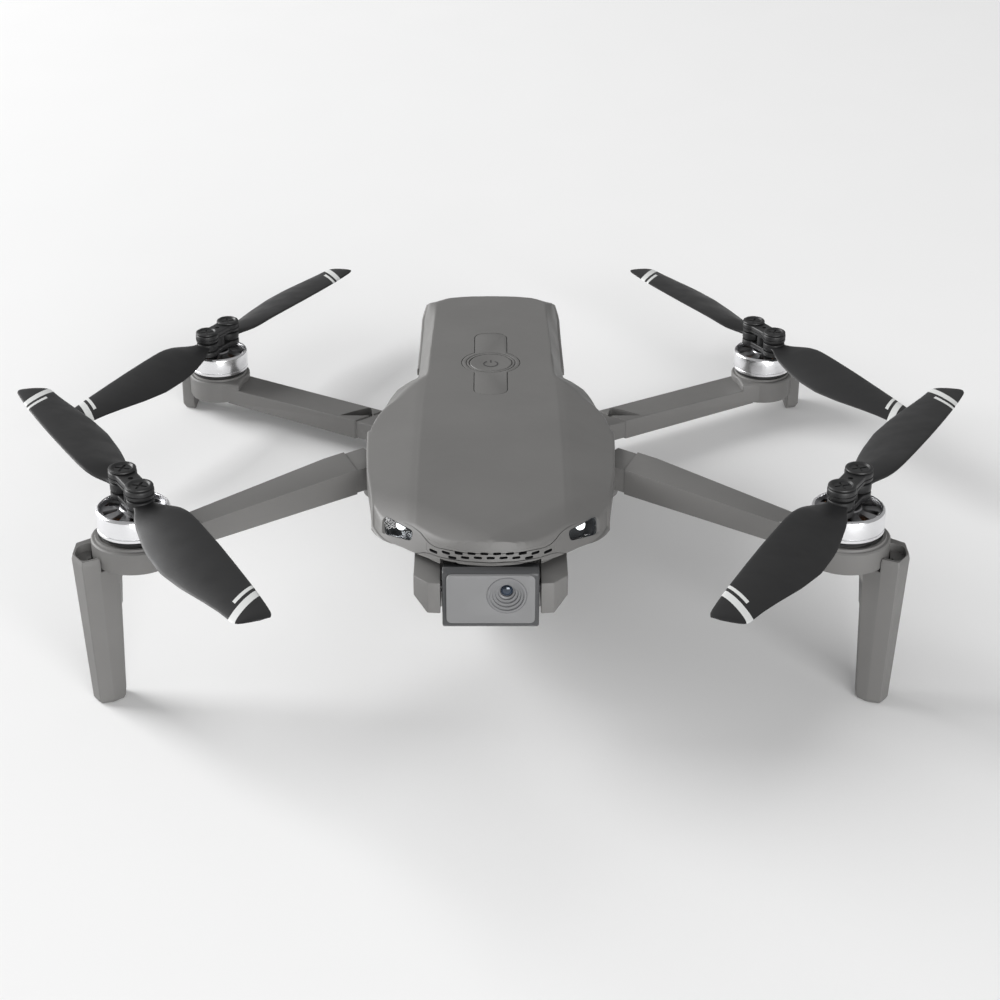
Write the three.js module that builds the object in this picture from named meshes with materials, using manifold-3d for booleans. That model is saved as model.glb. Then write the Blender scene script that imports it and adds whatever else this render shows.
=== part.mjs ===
// Foldable quadcopter drone: a slim body with four folding arms, four brushless motors with
// two-blade folding propellers, a tilting nose camera and a battery that slides out of the tail.
// Millimetres, +Z up, nose towards -Y, so +X is the drone's own left.
// The origin is on the ground, midway between the four motor axes.
import * as THREE from "three";
import { mergeVertices } from "three/addons/utils/BufferGeometryUtils.js";
import Module from "manifold-3d";

const wasm = await Module();
wasm.setup();

const radians = THREE.MathUtils.degToRad;

// ---------------------------------------------------------------- driving dimensions
const MOTOR_X = 91; // motor axis to the centre plane
const MOTOR_Y = 90.3; // motor axis to the origin, along the body
const BELL_R = 9.5;
const BELL_TOP = 7.5; // above the arm's pod
const GAP = 0.3; // clearance between separate pieces
const PIVOT_R = 5.75; // blade pivot to motor axis
const PROP_TURN = radians(60); // from the X axis to the line through both blades

const TOP_Z = 53; // top cover's flat
const SEAM_Z = 40; // where the upper and lower shells meet
const FLANGE_Z = 48.8; // underside of the shoulders over the front arms
const CORE_HALF = 21.3; // half-width of the upper shell between the arms
const HULL_HALF = 19.7; // half-width of the lower shell
const WALL = 1.6;
const TAIL_Y = 61.5;
const NOSE_LIMIT = -125; // in front of everything on the nose

const FRONT = {
  hingeX: 29,
  hingeY: -46,
  bottom: 40.5,
  top: 47.5,
  beamTop: 47.3,
  beam: { front: 3.9, back: 8 }, // the beam's two sides, from the line between the hinge and the motor
  podR: 11.3,
  pinFrom: 36.9,
  pinTo: 50,
  folded: radians(80), // the folded arm's direction
};
const REAR = {
  hingeX: 27,
  hingeY: 50,
  bottom: 5.6,
  top: 13.7,
  beamTop: 12.2,
  beam: { front: 6.2, back: 6.2 },
  podR: 10.4,
  pinFrom: 2.8,
  pinTo: 18.2,
};
const HINGE_BOSS_R = 6;
const PIN_R = 1.75;
const PIN_SIDES = 12; // of every small round: pins, bolts and their holes

const CAMERA = {
  y: -104.3,
  z: 39.3,
  half: 12.1,
  front: -112.6,
  bottom: 31.2,
  top: 47.3,
  shaftR: 1.6,
  drumR: 5.9,
};
const BRACKET = { outer: 19.4, backFrom: -95.9, backTo: -94.8, bottom: 35.5, top: 44.1 };
const LENS = { x: 4, z: 41.3, r: 4.85 };
const BUTTON = { y: 6, ringR: 8.5, r: 6.2, bottom: 49.6 };
const BAR = { half: 4.75, from: -17, to: 28 };
const BATTERY = { half: 17.4, from: -8, bottom: 25.4, top: 47.5 };
const SENSOR = { y: -20, half: 7, halfLength: 11, bottom: 7.2, top: 11.4 };

// ---------------------------------------------------------------- materials
const finish = (colour, roughness, metalness = 0) =>
  new THREE.MeshStandardMaterial({ color: colour, roughness, metalness });
const SHELL_GREY = finish(0x74726f, 0.55);
const TRIM_GREY = finish(0x6c6a68, 0.5);
const BLADE_BLACK = finish(0x2c2c2d, 0.45);
const HUB_BLACK = finish(0x1c1c1d, 0.5);
const CAMERA_GREY = finish(0x6f7072, 0.45);
const FACE_GREY = finish(0x909090, 0.4);
const BATTERY_GREY = finish(0x55534f, 0.6);
const BOARD_GREEN = finish(0x1d4a34, 0.5);
const CERAMIC = finish(0xb9b29c, 0.6);
const COPPER = finish(0xa5683a, 0.35, 1);
const BELL_SILVER = finish(0xd8d8da, 0.25, 1);
const STEEL = finish(0x9a9a9c, 0.3, 1);
const CLEAR = finish(0xdde4ea, 0.1);
const LENS_DARK = finish(0x10141c, 0.05);
const LAMP_WHITE = finish(0xffffff, 0.3);

// ---------------------------------------------------------------- solids
// A closed three.js geometry as a solid that can be cut and joined, its faces turned outwards.
function solid(geometry) {
  const bare = new THREE.BufferGeometry();
  const source = geometry.index ? geometry.toNonIndexed() : geometry;
  bare.setAttribute("position", source.getAttribute("position"));
  const merged = mergeVertices(bare, 1e-3);
  const vertProperties = new Float32Array(merged.attributes.position.array);
  const triVerts = new Uint32Array(merged.index.array);
  const made = new wasm.Manifold(new wasm.Mesh({ numProp: 3, vertProperties, triVerts }));
  if (made.volume() > 0) return made;
  return new wasm.Manifold(new wasm.Mesh({ numProp: 3, vertProperties, triVerts: triVerts.reverse() }));
}

const join = (first, ...others) => others.reduce((a, b) => a.add(b), first);
const cut = (first, ...others) => others.reduce((a, b) => a.subtract(b), first);

function extrusion(outline, depth) {
  const shape = new THREE.Shape(outline.map(([a, b]) => new THREE.Vector2(a, b)));
  return new THREE.ExtrudeGeometry(shape, { depth, bevelEnabled: false });
}

// An upright prism over an outline of [x, y] points.
const prism = (outline, z0, z1) => solid(extrusion(outline, z1 - z0).translate(0, 0, z0));

// A slab across X over an outline of [y, z] points, from x0 to x1.
function slabAlongX(outline, x0, x1) {
  const geometry = extrusion(outline, x1 - x0).rotateX(Math.PI / 2).rotateZ(Math.PI / 2);
  return solid(geometry.translate(x0, 0, 0));
}

// A slab across Y over an outline of [x, z] points, from y0 to y1.
function slabAlongY(outline, y0, y1) {
  return solid(extrusion(outline, y1 - y0).rotateX(Math.PI / 2).translate(0, y1, 0));
}

function box(x0, x1, y0, y1, z0, z1) {
  const geometry = new THREE.BoxGeometry(x1 - x0, y1 - y0, z1 - z0);
  return solid(geometry.translate((x0 + x1) / 2, (y0 + y1) / 2, (z0 + z1) / 2));
}

// An upright cylinder, centred on x and y.
function cylinder(r, z0, z1, { x = 0, y = 0, sides = 24 } = {}) {
  const geometry = new THREE.CylinderGeometry(r, r, z1 - z0, sides);
  return solid(geometry.rotateX(Math.PI / 2).translate(x, y, (z0 + z1) / 2));
}

// A lathe profile of [radius, z] points, turned about Z. It closes on itself or ends on the axis.
function turned(profile, { x = 0, sides = 20 } = {}) {
  const points = profile.map(([r, z]) => new THREE.Vector2(r, z));
  return solid(new THREE.LatheGeometry(points, sides).rotateX(Math.PI / 2).translate(x, 0, 0));
}

// A skin over rings of equal length, closed at both ends by flat caps. Rings are Vector3 arrays, and
// flat(point) gives the two coordinates in which a cap is triangulated.
function skin(rings, flat) {
  const n = rings[0].length;
  const index = [];
  for (let i = 0; i < rings.length - 1; i++)
    for (let j = 0; j < n; j++) {
      const a = i * n + j;
      const b = i * n + ((j + 1) % n);
      index.push(a, b, b + n, a, b + n, a + n);
    }
  const cap = (ring, base, forwards) => {
    const outline = ring.map(flat);
    const faces = THREE.ShapeUtils.triangulateShape(outline, []);
    const areas = faces.map((corners) => THREE.ShapeUtils.area(corners.map((k) => outline[k])));
    const covered = areas.reduce((sum, area) => sum + area, 0);
    const inOrder = Math.sign(covered) === Math.sign(THREE.ShapeUtils.area(outline));
    for (const [a, b, c] of faces)
      index.push(...(inOrder === forwards ? [base + a, base + b, base + c] : [base + b, base + a, base + c]));
  };
  cap(rings[0], 0, false);
  cap(rings[rings.length - 1], (rings.length - 1) * n, true);
  const geometry = new THREE.BufferGeometry().setFromPoints(rings.flat());
  geometry.setIndex(index);
  return solid(geometry);
}

const inPlan = (p) => new THREE.Vector2(p.x, p.y);
const acrossX = (p) => new THREE.Vector2(p.y, p.z);
const acrossY = (p) => new THREE.Vector2(p.x, p.z);

// A skin over sections across Y. Each is { y, half: [[x, z], ...] }, the half outline from the top
// centre down to the bottom centre, mirrored in the centre plane.
function hullAlongY(sections) {
  const rings = sections.map(({ y, half }) => {
    const left = half.map(([x, z]) => new THREE.Vector3(x, y, z));
    const right = half.slice(1, -1).reverse().map(([x, z]) => new THREE.Vector3(-x, y, z));
    return [...left, ...right];
  });
  return skin(rings, acrossY);
}

// A closed outline from its left half of [x, y] points, mirrored in the centre plane.
function mirrored(half) {
  const other = half.slice().reverse().filter(([x]) => x > 0);
  return [...half, ...other.map(([x, y]) => [-x, y])];
}

const arc = (r, from, to, count, x = 0, y = 0) =>
  Array.from({ length: count + 1 }, (_, i) => {
    const a = radians(from + ((to - from) * i) / count);
    return [x + r * Math.cos(a), y + r * Math.sin(a)];
  });

// A slot with round ends, lying along X and centred on the origin.
function slotOutline(length, width, arcPoints = 6) {
  const r = width / 2;
  const reach = length / 2 - r;
  return [...arc(r, -90, 90, arcPoints, reach), ...arc(r, 90, 270, arcPoints, -reach)];
}

// ---------------------------------------------------------------- the scene graph
const model = new THREE.Group();

function place(x, y, z, turn, parent = model) {
  const made = new THREE.Group();
  made.position.set(x, y, z);
  made.rotation.z = turn;
  parent.add(made);
  return made;
}

// Adds a solid to a group as a named mesh.
function piece(name, shape, material, parent = model) {
  const { vertProperties, triVerts } = shape.getMesh();
  const geometry = new THREE.BufferGeometry();
  geometry.setAttribute("position", new THREE.BufferAttribute(vertProperties, 3));
  geometry.setIndex(new THREE.BufferAttribute(triVerts, 1));
  geometry.computeVertexNormals();
  const mesh = new THREE.Mesh(geometry, material);
  mesh.name = name;
  parent.add(mesh);
}

// ---------------------------------------------------------------- upper shell
// Half-widths along the body: y, ridge beside the flat top, outer edge, that edge's height, top.
const BODY_STATIONS = [
  [TAIL_Y, 14.4, 18.6, 47.6, 51.4],
  [60.2, 16, 20.6, 46.4, 52.6],
  [57, 16.8, 21.5, 46, TOP_Z],
  [12.5, 18, 22, 45.4, TOP_Z],
  [8, 18.1, 23.6, 45.3, TOP_Z],
  [4, 18.2, 27.3, 45.3, TOP_Z],
  [-2, 18.3, 30, 45.4, TOP_Z],
  [-10, 18.6, 31.7, 45.9, TOP_Z],
  [-20, 18.9, 32.8, 47, TOP_Z],
  [-30, 19.1, 33.7, 48.6, TOP_Z],
  [-44, 19.2, 34, 49.6, TOP_Z],
  [-59, 19.2, 33.4, 49.9, TOP_Z],
  [-74, 19.1, 31.6, 49.9, TOP_Z],
  [-112, 18.6, 30, 49.9, TOP_Z],
];
const NOSE_FLOOR_Z = 44.4;

// The nose in plan, left half: its top edge, and the bottom edge of its sloping front.
const NOSE_TOP_Z = 52.6;
const NOSE_TOP = [
  [34, -62],
  [31.2, -74],
  [29.9, -79.5],
  [26, -85.4],
  [18.8, -92.4],
  [9.4, -100.6],
  [0, -104.6],
];
const NOSE_LOW_Z = 45;
const NOSE_LOW = [
  [36, -62],
  [32, -78],
  [29.4, -88.5],
  [27, -92.3],
  [19.7, -99.8],
  [11, -106],
  [0, -107.8],
];

// Everything behind the sloping front of the nose, moved back by an inset.
function behindNose(inset) {
  const behind = 80;
  const wide = 60;
  const ringAt = (z) => {
    const down = (NOSE_TOP_Z - z) / (NOSE_TOP_Z - NOSE_LOW_Z);
    const half = NOSE_TOP.map(([x, y], i) => [
      x + (NOSE_LOW[i][0] - x) * down,
      y + (NOSE_LOW[i][1] - y) * down + inset,
    ]);
    const outline = mirrored([[wide, behind], [wide, half[0][1]], ...half]);
    return outline.map(([x, y]) => new THREE.Vector3(x, y, z));
  };
  return skin([ringAt(SEAM_Z - 2), ringAt(TOP_Z + 3)], inPlan);
}

// The upper body as a block, moved inwards by an inset. The shoulders overhang the front arms.
function upperBlock(inset) {
  const shoulderEnd = FRONT.hingeY - 12;
  const sections = BODY_STATIONS.map(([y, ridge, edge, edgeZ, top], i) => {
    const floor = y < shoulderEnd ? NOSE_FLOOR_Z : Math.min(FLANGE_Z, edgeZ - 2);
    const sideZ = edgeZ - inset / 3;
    const under = Math.min(floor + inset, sideZ - 0.2);
    const core = Math.min(CORE_HALF, edge - 0.2);
    return {
      y: i === 0 ? y - inset : y,
      half: [
        [0, top - inset],
        [ridge - inset / 2, top - inset],
        [edge - inset, sideZ],
        [edge - inset, under],
        [core - inset, under],
        [core - inset, SEAM_Z + 0.1 - inset],
        [0, SEAM_Z + 0.1 - inset],
      ],
    };
  });
  return hullAlongY(sections).intersect(behindNose(inset * 1.5));
}

// The plus-shaped indicator plate in plan: a bar along the body with a disc round the button.
function indicatorBlock(z0, z1, grow) {
  const outline = slotOutline(BAR.to - BAR.from + 2 * grow, 2 * (BAR.half + grow));
  const bar = extrusion(outline, z1 - z0).rotateZ(Math.PI / 2).translate(0, (BAR.to + BAR.from) / 2, z0);
  return join(solid(bar), cylinder(BUTTON.ringR + grow, z0, z1, { y: BUTTON.y }));
}

// The vent panel's zone on the nose, between the headlights.
const VENT = { half: 15.5, bottom: 46.9, top: 50.6, depth: 2.6 };
const ventZone = (grow) =>
  box(-VENT.half - grow, VENT.half + grow, NOSE_LIMIT, -90, VENT.bottom - grow, VENT.top + grow);

// A plate on the nose's corner facet, over a local outline shifted by dx and dy.
const HEADLIGHT = { x: 24.5, y: -89.6, z: 49, turn: radians(49), lean: radians(52), width: 11, height: 6.6 };
const headlightWindow = (grow) => slotOutline(HEADLIGHT.width + 2 * grow, HEADLIGHT.height + 2 * grow);
function onHeadlight(side, outline, from, to, dx = 0, dy = 0) {
  const geometry = extrusion(outline, to - from).translate(dx * side, dy, from);
  geometry.rotateX(HEADLIGHT.lean).rotateZ(side * HEADLIGHT.turn);
  return solid(geometry.translate(side * HEADLIGHT.x, HEADLIGHT.y, HEADLIGHT.z));
}

// The room beside the body in which a front arm turns, up to a given height, grown by a margin. Its
// front lies along the opened arm, and its inner side along the folded one.
function armBay(hand, top, margin) {
  const inner = CORE_HALF + 0.1;
  const outer = 60;
  const rear = 50;
  const { hingeX, hingeY, beam, folded } = FRONT;
  const clear = 2 * GAP + margin;
  const slope = (MOTOR_Y + hingeY) / (MOTOR_X - hingeX);
  const frontAt = (x) => hingeY - (HINGE_BOSS_R + clear) * Math.hypot(1, slope) - (x - hingeX) * slope;
  const sideX = hingeX - (beam.back + clear) / Math.sin(folded);
  const side = [
    [sideX + (rear - hingeY) / Math.tan(folded), rear],
    [inner, hingeY + (inner - sideX) * Math.tan(folded)],
  ];
  const plan = [[inner, frontAt(inner)], [outer, frontAt(outer)], [outer, rear], ...side];
  return prism(plan.map(([x, y]) => [hand * x, y]), SEAM_Z - 3, top);
}

const pinHole = (side, hinge, from, to) =>
  cylinder(PIN_R + GAP, from, to, { x: side * hinge.hingeX, y: hinge.hingeY, sides: PIN_SIDES });

// The opening in the tail that the battery slides through.
function batteryMouth() {
  const half = BATTERY.half + GAP;
  return box(-half, half, TAIL_Y - 20, TAIL_Y + 5, BATTERY.bottom - GAP, BATTERY.top + GAP);
}

// The room under the nose in which the camera hangs and tilts.
function cameraRoom() {
  const half = CAMERA.half + 0.6;
  const bay = box(-half, half, NOSE_LIMIT, BRACKET.backFrom + 0.4, 20, VENT.bottom);
  return join(bay, box(-60, 60, NOSE_LIMIT, BRACKET.backTo, 20, NOSE_FLOOR_Z));
}

function upperShell() {
  const insideBays = [-1, 1].map((side) => armBay(side, FLANGE_Z + WALL, WALL));
  const hollow = cut(upperBlock(WALL), ...insideBays);
  const openings = [batteryMouth(), indicatorBlock(50, 60, GAP), ventZone(GAP), cameraRoom()];
  let shell = cut(upperBlock(0), hollow, ...openings);
  for (const side of [-1, 1]) {
    const bay = armBay(side, FLANGE_Z - 0.2, 0);
    const window = onHeadlight(side, headlightWindow(0), -6, 6);
    shell = cut(shell, bay, pinHole(side, FRONT, 45, FRONT.pinTo + 0.3), window);
  }
  return shell;
}

function noseTrim() {
  const band = upperBlock(0).intersect(ventZone(0)).subtract(behindNose(VENT.depth));
  const pitch = 2.9;
  const droop = 0.0062; // of a row, times the square of the distance from the centre
  const rows = [[10, 49.4], [7, 48.4]];
  const slots = rows.flatMap(([count, middleZ]) =>
    Array.from({ length: count }, (_, i) => {
      const x = (i - (count - 1) / 2) * pitch;
      const z = middleZ - droop * x * x;
      return box(x - 1, x + 1, NOSE_LIMIT, -85, z - 0.3, z + 0.3);
    }),
  );
  return cut(band, ...slots);
}

// ---------------------------------------------------------------- lower shell
// y, half-width at the seam, half-width and height where the side turns in, bottom half-width, bottom.
const HULL_STATIONS = [
  [TAIL_Y - 0.6, 19, 19, 11, 14, 7],
  [56, HULL_HALF, HULL_HALF, 9, 15.5, 4.6],
  [20, HULL_HALF, HULL_HALF, 9, 15.5, 4.6],
  [-40, HULL_HALF, HULL_HALF, 13, 15, 8],
  [-75, 19.5, 18.6, 22, 13.5, 16],
  [-94.5, 19.2, 17, 34, 12, 29],
];

function lowerBlock(inset) {
  const ends = [HULL_STATIONS[0][0], HULL_STATIONS[HULL_STATIONS.length - 1][0]];
  const sections = HULL_STATIONS.map(([y, seamHalf, sideHalf, sideZ, bottomHalf, bottom]) => ({
    y: ends.includes(y) ? y - Math.sign(y) * inset : y,
    half: [
      [0, SEAM_Z - 0.1 + inset],
      [seamHalf - inset, SEAM_Z - 0.1 + inset],
      [sideHalf - inset, sideZ + inset / 2],
      [bottomHalf - inset / 2, bottom + inset],
      [0, bottom + inset],
    ],
  }));
  return hullAlongY(sections);
}

// An ear on the hull's side that carries one end of a hinge pin. It starts inside the hull.
function ear(side, hinge, inner, z0, z1) {
  const reach = HINGE_BOSS_R + 0.2;
  const tip = arc(reach, -90, 90, 8, hinge.hingeX, hinge.hingeY);
  const plan = [[inner, hinge.hingeY - reach], ...tip, [inner, hinge.hingeY + reach]];
  return prism(plan.map(([x, y]) => [side * x, y]), z0, z1);
}

function lowerShell() {
  const inner = HULL_HALF - 1;
  const ears = [-1, 1].flatMap((side) => [
    ear(side, FRONT, inner, FRONT.bottom - 3.8, FRONT.bottom - 2 * GAP),
    ear(side, REAR, inner, REAR.top + GAP, REAR.top + 4.8),
    ear(side, REAR, 10, REAR.bottom - 3.2, REAR.bottom - GAP),
  ]);
  const pinHoles = [-1, 1].flatMap((side) => [
    pinHole(side, FRONT, FRONT.pinFrom - GAP, TOP_Z),
    pinHole(side, REAR, REAR.pinFrom - GAP, REAR.pinTo + 5),
  ]);
  const { y, half, halfLength } = SENSOR;
  const sensorWindow = box(-half, half, y - halfLength, y + halfLength, 0, 12);
  return cut(join(lowerBlock(0), ...ears), lowerBlock(WALL), batteryMouth(), sensorWindow, ...pinHoles);
}

// ---------------------------------------------------------------- inside the body
function batteryPack() {
  const { half, from, bottom, top } = BATTERY;
  const pack = box(-half, half, from, TAIL_Y - 0.7, bottom, top);
  const grip = { r: 6, outside: 4.6 };
  const thumbGrooves = [-1, 1].map((side) => {
    const place = { x: side * (half + grip.outside), y: TAIL_Y + 1, sides: PIN_SIDES };
    return cylinder(grip.r, bottom - 1, top + 1, place);
  });
  return cut(pack, box(-8, 8, from - 1, from + 2, 30, 36), ...thumbGrooves);
}

function bellySensor() {
  const { y, half, halfLength, bottom, top } = SENSOR;
  const block = box(-half + GAP, half - GAP, y - halfLength + GAP, y + halfLength - GAP, bottom, top);
  const lensHoles = [-4, 4].map((dy) => cylinder(2, 0, bottom + 1.5, { y: y + dy, sides: PIN_SIDES }));
  return cut(block, ...lensHoles);
}

function body() {
  piece("upper_shell", upperShell(), SHELL_GREY);
  piece("lower_shell", lowerShell(), SHELL_GREY);
  piece("nose_trim", noseTrim(), SHELL_GREY);
  const plate = indicatorBlock(TOP_Z - WALL, TOP_Z - 0.05, 0);
  piece("indicator_plate", cut(plate, cylinder(BUTTON.r + GAP, 50, 54, { y: BUTTON.y })), TRIM_GREY);
  piece("power_button", cylinder(BUTTON.r, BUTTON.bottom, TOP_Z - 0.1, { y: BUTTON.y }), TRIM_GREY);
  for (const [word, side] of [["left", 1], ["right", -1]]) {
    piece(`headlight_lens_${word}`, onHeadlight(side, headlightWindow(-GAP), -1.6, -0.8), CLEAR);
    piece(`headlight_led_${word}`, onHeadlight(side, slotOutline(3.2, 3.1), -3.4, -2, -1.6, 1.2), LAMP_WHITE);
  }
  piece("battery_pack", batteryPack(), BATTERY_GREY);
  const plugY = BATTERY.from - 6;
  piece("battery_connector", box(-7.5, 7.5, plugY, BATTERY.from + 1.5, 30.4, 35.6), HUB_BLACK);
  piece("main_board", box(-14.5, 14.5, -58, 24, 20.4, 22), BOARD_GREEN);
  const patch = box(-9, 9, -48.5, -30.5, 45.9, 50);
  piece("satellite_receiver", join(box(-12.5, 12.5, -52, -27, 44, 46), patch), CERAMIC);
  piece("belly_sensor", bellySensor(), HUB_BLACK);
  piece("tilt_servo", box(-5, 5, -92, -80, 34, 43), HUB_BLACK);
}

// ---------------------------------------------------------------- camera
function crossRod(r, length) {
  const rod = new THREE.CylinderGeometry(r, r, length, PIN_SIDES).rotateZ(Math.PI / 2);
  return solid(rod.translate(0, CAMERA.y, CAMERA.z));
}

function cameraBracket() {
  const { outer, backFrom, backTo, bottom, top } = BRACKET;
  const inner = CAMERA.half + 0.5;
  const noseY = -111.5;
  const crease = 3.6; // from the outer side to the edge between a cheek's two front facets
  const front = [[inner, noseY], [outer - crease, noseY], [outer, noseY + crease]];
  const plan = [...front, [outer, backTo], [inner, backTo]];
  const cheeks = [-1, 1].map((side) => {
    const block = prism(plan.map(([x, y]) => [side * x, y]), bottom, top);
    const corner = [
      [outer + 1, bottom - 1],
      [outer + 1, bottom + crease + 1],
      [outer - crease - 1, bottom - 1],
    ];
    return block.subtract(slabAlongY(corner.map(([x, z]) => [side * x, z]), noseY - 1, backTo + 1));
  });
  const back = box(-outer, outer, backFrom, backTo, bottom, top);
  return cut(join(back, ...cheeks), crossRod(CAMERA.shaftR + GAP, 2 * outer + 2));
}

// A round rod along the lens axis, from one y to another.
const lensRod = (r, y0, y1, sides = 20) =>
  solid(new THREE.CylinderGeometry(r, r, y1 - y0, sides).translate(LENS.x, (y0 + y1) / 2, LENS.z));

// A block that rounds off at the back into a drum about the tilt axis.
function cameraHousing() {
  const { y, z, half, front, bottom, top, shaftR, drumR } = CAMERA;
  const drum = arc(drumR, -80, 90, 8, y, z);
  const face = [[front + 1.4, top - 1], [front + 1.4, bottom + 2]];
  const underside = [[front + 2.6, bottom], [front + 5, bottom]];
  const outline = [...face, ...underside, ...drum, [y - 3.2, z + drumR], [front + 4, top]];
  const lensRoom = lensRod(LENS.r + GAP, front - 2, front + 6);
  return cut(slabAlongX(outline, -half, half), crossRod(shaftR + GAP, 40), lensRoom);
}

// The stepped dish in front of the glass, narrowing ring by ring.
function lensBarrel() {
  const front = CAMERA.front - 0.2;
  const step = { count: 4, width: 0.7, depth: 0.6 };
  let barrel = lensRod(LENS.r, front, front + 4.8);
  for (let i = 0; i < step.count; i++)
    barrel = barrel.subtract(lensRod(LENS.r - 0.5 - i * step.width, front - 2, front + step.depth * (i + 1)));
  return barrel.subtract(lensRod(1.8, front, front + 3.5, PIN_SIDES));
}

function camera() {
  const { half, front, bottom, top } = CAMERA;
  piece("camera_bracket", cameraBracket(), SHELL_GREY);
  piece("tilt_shaft", crossRod(CAMERA.shaftR, 34), STEEL);
  piece("camera_housing", cameraHousing(), CAMERA_GREY);
  const back = front + 1.1;
  const plate = [[front, bottom + 2.3], [back, bottom + 1.9], [back, top - 0.2], [front, top - 0.6]];
  const face = slabAlongX(plate, 1.1 - half, half - 1.1);
  piece("camera_face", cut(face, lensRod(LENS.r + GAP, front - 2, front + 2)), FACE_GREY);
  piece("lens_barrel", lensBarrel(), CAMERA_GREY);
  piece("lens_glass", lensRod(1.5, front + 2.2, front + 3, PIN_SIDES), LENS_DARK);
}

// ---------------------------------------------------------------- arms and legs
// The rear foot's plan, a fin beyond the motor axis, as [along the arm, across it].
const FOOT_PLAN = [[8.1, -5.9], [10.6, -7.5], [15.1, -0.4], [12.6, 1.2]];

// An arm along local +X from its hinge, with the motor pod at its far end. Its back is on the local
// +Y side where backSide is 1.
function arm(hinge, length, backSide, footSide) {
  const { bottom, top, beamTop, podR } = hinge;
  const edge = 0.6;
  const beamFrom = 3;
  const sideOutline = (reach) =>
    [[reach - edge, bottom], [reach, bottom + edge], [reach, beamTop - edge], [reach - edge, beamTop]];
  const frontSide = sideOutline(hinge.beam.front).reverse().map(([y, z]) => [-y, z]);
  const section = [...sideOutline(hinge.beam.back), ...frontSide];
  const beam = slabAlongX(section.map(([y, z]) => [backSide * y, z]), beamFrom, length);
  const boss = cylinder(HINGE_BOSS_R, bottom, top, { sides: 18 });
  const rim = [[podR - 1, bottom], [podR, bottom + 1], [podR, top - 0.7], [podR - 0.7, top]];
  const pod = turned([[0, bottom], ...rim, [0, top]], { x: length, sides: 24 });
  const whole = join(beam, boss, pod);
  const pinRoom = cylinder(PIN_R + GAP, bottom - 1, top + 1, { sides: PIN_SIDES });
  if (!footSide) return cut(whole, pinRoom);
  return cut(join(whole, prism(FOOT_PLAN.map(([x, y]) => [length + x, footSide * y]), 0, top - 1)), pinRoom);
}

// The front leg's plan where it meets the arm, and at the ground.
const LEG_TOP = {
  z: 44,
  front: [[106.8, 96], [103.2, 101.1], [99.2, 99.2], [94.8, 95.2]],
  back: [[95.6, 89], [103, 86.5], [106.8, 89.5]],
};
const LEG_FOOT = {
  z: 0,
  front: [[104.7, 94.6], [102.4, 97.4], [98.8, 96.4], [96.3, 94]],
  back: [[96.8, 89.8], [101.8, 88.6], [104.7, 90.6]],
};

function frontLeg(side) {
  const rings = [LEG_FOOT, LEG_TOP].map(({ z, front, back }) =>
    [...front, ...back].map(([x, y]) => new THREE.Vector3(side * x, -y, z)),
  );
  const aroundPod = { x: side * MOTOR_X, y: -MOTOR_Y };
  return cut(skin(rings, inPlan), cylinder(FRONT.podR + GAP, FRONT.bottom - GAP, TOP_Z, aroundPod));
}

// ---------------------------------------------------------------- motors and propellers
// The fixed part of a motor, standing on the pod's top at z = 0.
const stator = () => turned([[1.4, 0.3], [8.8, 0.3], [8.8, 0.9], [7, 0.9], [7, 5.6], [1.4, 5.6], [1.4, 0.3]]);

// The turning bell with its magnets and shaft, over the stator.
function bell() {
  const rim = { inner: 7.6, bottom: 1.2, chamfer: 0.7 };
  const under = 6.1;
  return turned([
    [0, rim.bottom],
    [1, rim.bottom],
    [1, under],
    [rim.inner, under],
    [rim.inner, rim.bottom],
    [BELL_R, rim.bottom],
    [BELL_R, BELL_TOP - rim.chamfer],
    [BELL_R - rim.chamfer, BELL_TOP],
    [0, BELL_TOP],
  ]);
}

// Heights in the propeller, above the top of the bell.
const HUB = { plateFrom: 0.3, plateTo: 2, barFrom: 5.2, barTo: 7.8, half: 3.7, pillarHalf: 1.7, boltR: 1.2 };
const BLADE_MID = 3.55;

function propHub() {
  const bone = slotOutline(2 * (PIVOT_R + HUB.half), 2 * HUB.half, 5);
  const plates = [prism(bone, HUB.plateFrom, HUB.plateTo), prism(bone, HUB.barFrom, HUB.barTo)];
  const { pillarHalf } = HUB;
  const depth = 1.4 * pillarHalf;
  const pillar = box(-pillarHalf, pillarHalf, -depth, depth, HUB.plateTo - 0.2, HUB.barFrom + 0.2);
  const holes = [-1, 1].map((end) => cylinder(HUB.boltR + GAP, 0, 9, { x: end * PIVOT_R, sides: PIN_SIDES }));
  return cut(join(pillar, ...plates), ...holes);
}

function bladeScrew() {
  const head = [[3.4, 8], [3.4, 8.4], [3.1, 8.6], [0, 8.6]];
  return turned([[0, 0.6], [HUB.boltR, 0.6], [HUB.boltR, 8], ...head], { sides: PIN_SIDES });
}

// Along a blade: distance from the motor axis, leading edge, trailing edge, thickness, pitch in degrees.
const BLADE_STATIONS = [
  [6, 2.6, -2.6, 1.8, 0],
  [9, 3.6, -3.3, 1.5, 2],
  [13, 6.3, -5.2, 1.5, 9],
  [20, 7.5, -6.6, 1.4, 15],
  [30, 7.5, -8.4, 1.3, 13.5],
  [40, 7.2, -9.1, 1.2, 11.5],
  [50, 6.6, -8.1, 1.1, 9],
  [60, 6.2, -5.9, 1, 6.5],
  [70, 5.2, -3.7, 0.9, 4],
  [73.8, 4.4, -3.2, 0.8, 3.5],
  [75, 1.6, -1.6, 0.6, 3],
];

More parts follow.
